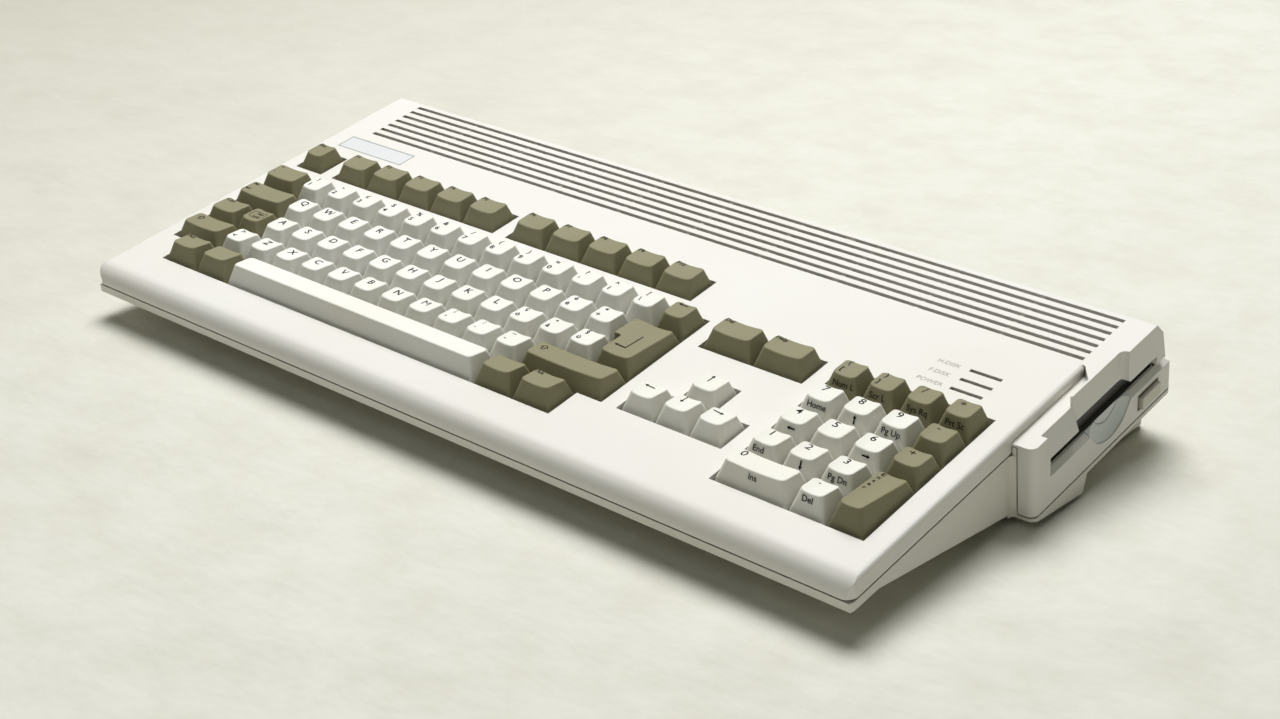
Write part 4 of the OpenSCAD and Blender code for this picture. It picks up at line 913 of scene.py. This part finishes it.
returnForm = {
    "arrow": (6.8, 0.12, 0.17),
    "stroke": (2.7, 3.4, -0.4, 12.4),   # left, right, front and rear
    "at": (5.2, 7.6),
}


def returnSign():
    # A long stroke down the key and an arrow to the left at its foot.
    bm = arrowSign(*returnForm["arrow"])
    turnFlat(bm, bm.verts, 180.0)
    putPlate(bm, *returnForm["stroke"])
    return bm


frameForm = {
    "width": 9.4,
    "depth": 6.2,
    "line": 0.32,
    "corner": 1.4,
    "s": 6.2,
    "long": 2.5,         # longer edges are cut, so that the frame follows the dish
    "cuts": 5,
    "words": (("Caps", 7.6), ("Lock", 4.7)),
    "size": 1.7,
    "bold": 0.06,
}


def frameSign():
    # A rounded outline.
    spec = frameForm
    bm = bmesh.new()
    putPlate(bm, -spec["width"] / 2, spec["width"] / 2, -spec["depth"] / 2, spec["depth"] / 2)
    upright = [edge for edge in bm.edges if edge.verts[0].co.z * edge.verts[1].co.z < 0]
    roundEdges(bm, upright, spec["corner"], cap["cornerSteps"])
    bm.normal_update()
    flats = [face for face in bm.faces if abs(face.normal.z) > facing]
    bmesh.ops.inset_individual(bm, faces=flats, thickness=spec["line"], use_even_offset=True)
    openRing(bm, flats)
    long = [edge for edge in bm.edges if edge.calc_length() > spec["long"]]
    bmesh.ops.subdivide_edges(bm, edges=long, cuts=spec["cuts"])
    return bm


def layOnTop(bm, form, x, s, turn=0.0):
    turnFlat(bm, bm.verts, turn)
    for vert in bm.verts:
        onX, onS = form.topX0 + x + vert.co.x, form.front + s + vert.co.y
        vert.co = (onX, onS, form.top(onX, onS) + legend["lift"] + vert.co.z)


def layOnFront(bm, form, x, up):
    low = Vector((form.topX0 + x, form.s0, -cap["skirt"]))
    rise = Vector((0.0, form.front - form.s0, form.plane(form.front) + cap["skirt"])).normalized()
    out = Vector((0.0, -rise.z, rise.y))
    for vert in bm.verts:
        across, y, z = vert.co
        vert.co = low + Vector((across, 0.0, 0.0)) + rise * (up + y) + out * (legend["lift"] + z)


def joinInto(target, part):
    mesh = bpy.data.meshes.new("part")
    part.to_mesh(mesh)
    part.free()
    target.from_mesh(mesh)
    bpy.data.meshes.remove(mesh)


def addTop(ink, part, form, x, s, turn=0.0):
    layOnTop(part, form, x, s, turn)
    joinInto(ink, part)


def topText(ink, form, text, style, size=None, back=0.0):
    spec = legend[style]
    if text in arrow["turns"]:
        length, shaft, head = arrow["top"]
        part = arrowSign(size or length, shaft, head)
    else:
        bold = legend["thin"].get(text, spec["bold"])
        part = flatText(text, size or spec["size"], bold, style != "word")
    addTop(ink, part, form, spec["x"], spec["s"] + back, arrow["turns"].get(text, 0.0))


def frontText(ink, form, text):
    spec = legend["face"]
    if text in arrow["turns"]:
        part = arrowSign(*arrow["front"])
        turnFlat(part, part.verts, arrow["turns"][text])
        layOnFront(part, form, *arrow["frontAt"])
    else:
        part = flatText(text, spec["size"], spec["bold"], False)
        layOnFront(part, form, *legend["moved"].get(text, (spec["x"], spec["s"])))
    joinInto(ink, part)


def labelReturn(form, ink):
    addTop(ink, returnSign(), form, *returnForm["at"])


stack = {
    "text": "Enter",
    "size": 2.3,
    "small": 0.9,        # size of its small letters beside the large one
    "x": 2.0,
    "s": 29.0,
    "step": 3.4,
    "bold": 0.1,
}


def labelEnter(form, ink):
    for index, letter in enumerate(stack["text"]):
        size = stack["size"] * (1.0 if letter.isupper() else stack["small"])
        part = flatText(letter, size, stack["bold"])
        addTop(ink, part, form, stack["x"], stack["s"] - index * stack["step"])


def labelCapsLock(form, ink):
    middle = (form.topX1 - form.topX0) / 2
    addTop(ink, frameSign(), form, middle, frameForm["s"])
    for text, s in frameForm["words"]:
        addTop(ink, flatText(text, frameForm["size"], frameForm["bold"]), form, middle, s)


def keyRun(u, count, width, row):
    return [(u + index * width, width, row) for index in range(count)]


keyGroups = {
    # Each key: place from the left in key pitches, width, row from the rear, rows it spans.
    "esc_key": {"keys": [(0, 1, 0)], "words": ["Esc"]},
    "function_keys_left": {"keys": keyRun(1.5, 5, 1.25, 0),
                           "words": ["F1", "F2", "F3", "F4", "F5"]},
    "function_keys_right": {"keys": keyRun(8.25, 5, 1.25, 0),
                            "words": ["F6", "F7", "F8", "F9", "F10"]},
    "backquote_key": {"keys": [(0, 1.5, 1)], "tops": ["`~"]},
    "number_keys": {"keys": keyRun(1.5, 13, 1, 1),
                    "tops": ["1!", "2\"", "3£", "4$", "5%", "6&", "7/", "8(", "9)", "0=", "'?",
                             "ì^", "\\|"]},
    "backspace_key": {"keys": [(14.5, 1, 1)], "words": ["←"]},
    "tab_key": {"keys": [(0, 2, 2)], "tops": ["⇥⇤"]},
    "upper_letter_keys": {"keys": keyRun(2, 12, 1, 2), "tops": [*"QWERTYUIOP", "èé", "+*"]},
    "return_key": {"keys": [(14.25, 1.25, 3, 2)], "label": labelReturn},
    "control_key": {"keys": [(0, 1.25, 3)], "words": ["Ctrl"]},
    "caps_lock_key": {"keys": [(1.25, 1, 3)], "label": labelCapsLock},
    "middle_letter_keys": {"keys": keyRun(2.25, 12, 1, 3),
                           "tops": [*"ASDFGHJKL", "òç", "à°", "ù§"]},
    "left_shift_key": {"keys": [(0, 1.75, 4)], "words": ["⇧"]},
    "lower_letter_keys": {"keys": keyRun(1.75, 11, 1, 4),
                          "tops": ["<>", *"ZXCVBNM", ",;", ".:", "-_"]},
    "right_shift_key": {"keys": [(12.75, 2.75, 4)], "words": ["⇧"]},
    "alt_keys": {"keys": [(0.75, 1.25, 5), (13.5, 1.25, 5)], "words": ["Alt", "Alt"]},
    "command_keys": {"keys": [(2, 1.25, 5), (12.25, 1.25, 5)]},
    "space_bar": {"keys": [(3.25, 9, 5)]},
    "edit_keys": {"keys": keyRun(16, 2, 1.5, 1), "words": ["Del", "Help"]},
    "cursor_keys": {"keys": [(17, 1, 3)] + keyRun(16, 3, 1, 4), "tops": [*"↑←↓→"],
                    "style": "digit"},
    "numpad_digit_keys": {"keys": keyRun(19.5, 3, 1, 2) + keyRun(19.5, 3, 1, 3)
                          + keyRun(19.5, 3, 1, 4) + [(19.5, 2, 5), (21.5, 1, 5)],
                          "tops": [*"7894561230."], "style": "digit",
                          "faces": ["Home", "↑", "Pg Up", "←", "", "→", "End", "↓", "Pg Dn",
                                    "Ins", "Del"]},
    "numpad_sign_keys": {"keys": keyRun(19.5, 4, 1, 1) + [(22.5, 1, 2), (22.5, 1, 3)],
                         "tops": ["[(", "])", *"/*-+"], "style": "digit",
                         "faces": ["Num L", "Scr L", "Sys Rq", "Prt Sc", "", ""]},
    "enter_key": {"keys": [(22.5, 1, 5, 2)], "label": labelEnter},
}
whiteGroups = ("number_keys", "upper_letter_keys", "middle_letter_keys", "lower_letter_keys",
               "space_bar", "cursor_keys", "numpad_digit_keys")
# Finish of the caps, their slot and the finish of the legends.
whiteLook = ("keyWhite", "key_white", "legendBlack")
oliveLook = ("keyOlive", "key_olive", "legendDark")


def labelKeys(group, forms, ink):
    for form, text in zip(forms, group.get("tops", [])):
        if len(text) == 2:
            topText(ink, form, text[0], "main")
            topText(ink, form, text[1], "shifted")
        else:
            topText(ink, form, text, group.get("style", "letter"))
    for form, text in zip(forms, group.get("words", [])):
        size, back = legend["large"].get(text, (None, 0.0))
        topText(ink, form, text, "letter" if size else "word", size, back)
    for form, text in zip(forms, group.get("faces", [])):
        if text:
            frontText(ink, form, text)
    if "label" in group:
        group["label"](forms[0], ink)


def makeKeys():
    for node, group in keyGroups.items():
        isSpace = node == "space_bar"
        ear = cap["ear"] if node == "return_key" else 0.0
        forms = [CapForm(*key, dished=not isSpace, ear=ear) for key in group["keys"]]
        body = node + "_body"
        start = node.split("_key")[0].split("_bar")[0]
        capFinish, capSlot, inkFinish = whiteLook if node in whiteGroups else oliveLook
        caps = bmesh.new()
        ink = bmesh.new()
        for form in forms:
            middle = (form.x0 + form.x1) / 2
            spread = cap["spaceStems"] * cap["pitch"]
            stems = (middle - spread, middle, middle + spread) if isSpace else (middle,)
            joinInto(caps, makeCap(form, stems))
        caps.transform(deckFromMm)
        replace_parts(finishPiece(start + "_caps", caps, capFinish, body), node)
        labelKeys(group, forms, ink)
        if ink.verts:
            ink.transform(deckFromMm)
            finishPiece(start + "_legends", ink, inkFinish, body, shading["thin"])
        else:
            ink.free()


makeKeys()
print("keys made")


# Words beside the lamp slits

lampWords = {
    "words": ("POWER", "F.DISK", "H.DISK"),
    "x": 184.5,
    "s": 106.5,
    "pitch": 7.9,
    "size": 2.6,
}


def makeLampWords():
    ink = bmesh.new()
    for index, text in enumerate(lampWords["words"]):
        part = flatText(text, lampWords["size"])
        s = lampWords["s"] + index * lampWords["pitch"]
        bmesh.ops.translate(part, verts=part.verts, vec=(lampWords["x"], s, legend["lift"]))
        joinInto(ink, part)
    ink.transform(deckFromMm)
    finishPiece("lampWords", ink, "legendFaint", "case", shading["thin"])


makeLampWords()
scene.collection.objects.unlink(textHolder)
bpy.data.objects.remove(textHolder)


# Case, drive and ports

smoothNodes = {
    "top_case": ("upperShell", "caseUpper", "case_upper"),
    "bottom_case": ("lowerShell", "caseLower", "case_lower"),
    "trapdoor": ("bellyDoor", "caseLower", "case_lower"),
    "blanking_plate": ("cardSlotPlate", "caseLower", "case_lower"),
    "badge_plate": ("badgePlate", "badgeGrey", "badge_grey"),
    "rubber_feet": ("rubberFeet", "footRubber", "foot_rubber"),
    "case_screws": ("caseScrews", "zincSteel", "zinc_steel"),
    "drive_bezel": ("driveFront", "scoopGrey", "bezel_plastic"),
    "power_socket": ("powerSocket", "blackPlastic", "frame_black"),
    "disk_port": ("diskPort", "portMetal", "port_metal"),
    "serial_port": ("serialPort", "portMetal", "port_metal"),
    "parallel_port": ("parallelPort", "portMetal", "port_metal"),
    "video_port": ("videoPort", "portMetal", "port_metal"),
    "rf_box": ("radioBox", "portMetal", "port_metal"),
    "audio_jacks": ("audioJacks", "portMetal", "port_metal"),
    "controller_ports": ("controllerPorts", "portMetal", "port_metal"),
}
movingNodes = {
    "dust_flap": ("dustFlap", "blackPlastic", "flap_black"),
    "eject_button": ("ejectButton", "bezelGrey", "bezel_plastic"),
    "spindle_hub": ("spindleHub", "zincSteel", "zinc_steel"),
    "head_carriage": ("headCarriage", "blackPlastic", "frame_black"),
    "lead_screw": ("leadScrew", "zincSteel", "zinc_steel"),
}
paintedNodes = {
    "keyboard_frame": "wellBrown",
    "rubber_sheet": "sheetRubber",
    "membrane": "contactFilm",
    "keyboard_backplate": "zincSteel",
    "main_board": "circuitBoard",
    "board_chips": "chipBlack",
    "shield_upper": "shieldTin",
    "shield_lower": "zincSteel",
    "drive_chassis": "zincSteel",
    "drive_cover": "zincSteel",
    "carriage_rails": "zincSteel",
    "stepper_motor": "zincSteel",
    "drive_board": "circuitBoard",
    "ribbon_cables": "ribbonGrey",
    "led_board": "circuitBoard",
    "card_socket": "blackPlastic",
}
scoop = {
    "s": 154.5,          # the arc's centre
    "n": -16.6,
    # Distance out along the case and radius.
    "profile": [(242.93, 19.6), (245.3, 19.6), (244.9, 18.6), (244.2, 17.0), (243.6, 15.2),
                (243.15, 13.2), (242.93, 11.4)],
    "steps": 72,
    "underSlot": 0.1,
    "chamferAt": 220.3,  # where the plane of the bezel's chamfer meets the deck
}


def makeScoop():
    # The dished rim of the finger scoop under the disk slot.
    bm = bmesh.new()
    verts = [bm.verts.new((x, 0.0, -radius)) for x, radius in scoop["profile"]]
    edges = [bm.edges.new(pair) for pair in zip(verts, verts[1:] + verts[:1])]
    bmesh.ops.spin(bm, geom=verts + edges, cent=(0.0, 0.0, 0.0), axis=(1.0, 0.0, 0.0),
                   dvec=(0.0, 0.0, 0.0), angle=math.tau, steps=scoop["steps"], use_merge=True)
    bmesh.ops.translate(bm, verts=bm.verts, vec=(0.0, scoop["s"], scoop["n"]))
    slope = Vector((1.0, 0.0, 1.0)).normalized()
    planes = (((0.0, 0.0, slotLow - scoop["underSlot"]), (0.0, 0.0, 1.0)),
              ((scoop["chamferAt"], 0.0, 0.0), slope))
    for point, normal in planes:
        cut = cutMesh(bm, point, normal, clear_outer=True)
        rims = [part for part in cut if isinstance(part, bmesh.types.BMEdge)]
        bmesh.ops.edgeloop_fill(bm, edges=rims)
    bmesh.ops.recalc_face_normals(bm, faces=bm.faces)
    bm.transform(deckFromMm)
    finishPiece("fingerScoop", bm, "scoopGrey", "case")


def putRod(bm, x, z, y0, y1, radius, sides):
    # A short rod along Y.
    verts = bmesh.ops.create_cone(bm, cap_ends=True, segments=sides, radius1=radius,
                                  radius2=radius, depth=y1 - y0)["verts"]
    bmesh.ops.rotate(bm, verts=verts, matrix=Matrix.Rotation(math.radians(90.0), 3, "X"))
    bmesh.ops.translate(bm, verts=verts, vec=(x, (y0 + y1) / 2, z))


def boxMiddle(node):
    # Middle across, rear end and top of a node's box, in millimetres.
    low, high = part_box(node)
    return (low[0] + high[0]) / 2 / mm, high[1] / mm, high[2] / mm


def makeContacts():
    bm = bmesh.new()
    front = portEnd / mm - dPort["insert"]
    for node, count in dPort["sockets"].items():
        x, _, high = boxMiddle(node)
        z = high - dPort["flangeHalf"]
        for row in (0, 1):
            for index in range(count - row):
                across = (index - (count - 1 - row) / 2) * dPort["pitch"]
                putRod(bm, x + across, z + dPort["rowHalf"] * (1 - 2 * row),
                       front - dPort["contactDeep"], front + dPort["contactOut"],
                       dPort["contact"], dPort["contactSides"])
    bm.transform(fromMm)
    finishPiece("portContacts", bm, "portMetal", "case", shading["thin"])


powerPins = {
    "radius": 0.75,
    "sides": 16,
    "spread": 3.2,
    "floor": 7.7,        # depth of the well that they stand in
    "length": 5.0,
    "down": 8.0,         # from the socket's top to the middle pin
    "spots": ((0, 0), (-1, -1), (1, -1), (-1, 1), (1, 1)),
}


def makePowerPins():
    bm = bmesh.new()
    x, rear, high = boxMiddle("power_socket")
    y, z = rear - powerPins["floor"], high - powerPins["down"]
    for across, up in powerPins["spots"]:
        putRod(bm, x + across * powerPins["spread"], z + up * powerPins["spread"], y,
               y + powerPins["length"], powerPins["radius"], powerPins["sides"])
    bm.transform(fromMm)
    finishPiece("powerPins", bm, "portMetal", "case", shading["thin"])


jackRings = {
    "outer": 3.45,
    "inner": 1.68,
    "deep": 0.01,
    "stand": 0.25,
    "sides": 40,
    "apart": 13.0,
    "pairs": {"audio_jacks": ("ringRed", "ringWhite"), "rf_box": ("ringYellow", "ringWhite")},
}


def makeJackRings():
    end, z = portEnd / mm, boxMiddle("disk_port")[2] - dPort["flangeHalf"]
    for node, pair in jackRings["pairs"].items():
        x = boxMiddle(node)[0]
        for side, finish in zip((-0.5, 0.5), pair):
            bm = bmesh.new()
            putRod(bm, x + side * jackRings["apart"], z, end - jackRings["deep"],
                   end + jackRings["stand"], jackRings["outer"], jackRings["sides"])
            ends = [face for face in bm.faces if abs(face.normal.y) > facing]
            thickness = jackRings["outer"] - jackRings["inner"]
            bmesh.ops.inset_individual(bm, faces=ends, thickness=thickness)
            openRing(bm, ends)
            bmesh.ops.recalc_face_normals(bm, faces=bm.faces)
            bm.transform(fromMm)
            name = node.split("_")[0] + finish.replace("ring", "Ring") + "Mark"
            finishPiece(name, bm, finish, "case", shading["thin"])


makeScoop()
makeContacts()
makePowerPins()
makeJackRings()
print("scoop, contacts and rings made")
for node, (name, finish, slotName) in smoothNodes.items():
    crease = shading["topCase" if node == "top_case" else "copied"]
    smoothNode(node, name, finish, crease=crease)
for node, (name, finish, slotName) in movingNodes.items():
    smoothNode(node, name, finish, node + "_body")
for node, finish in paintedNodes.items():
    paintNode(node, finish)
print("case, drive and ports made")

scene.view_settings.view_transform = "Standard"
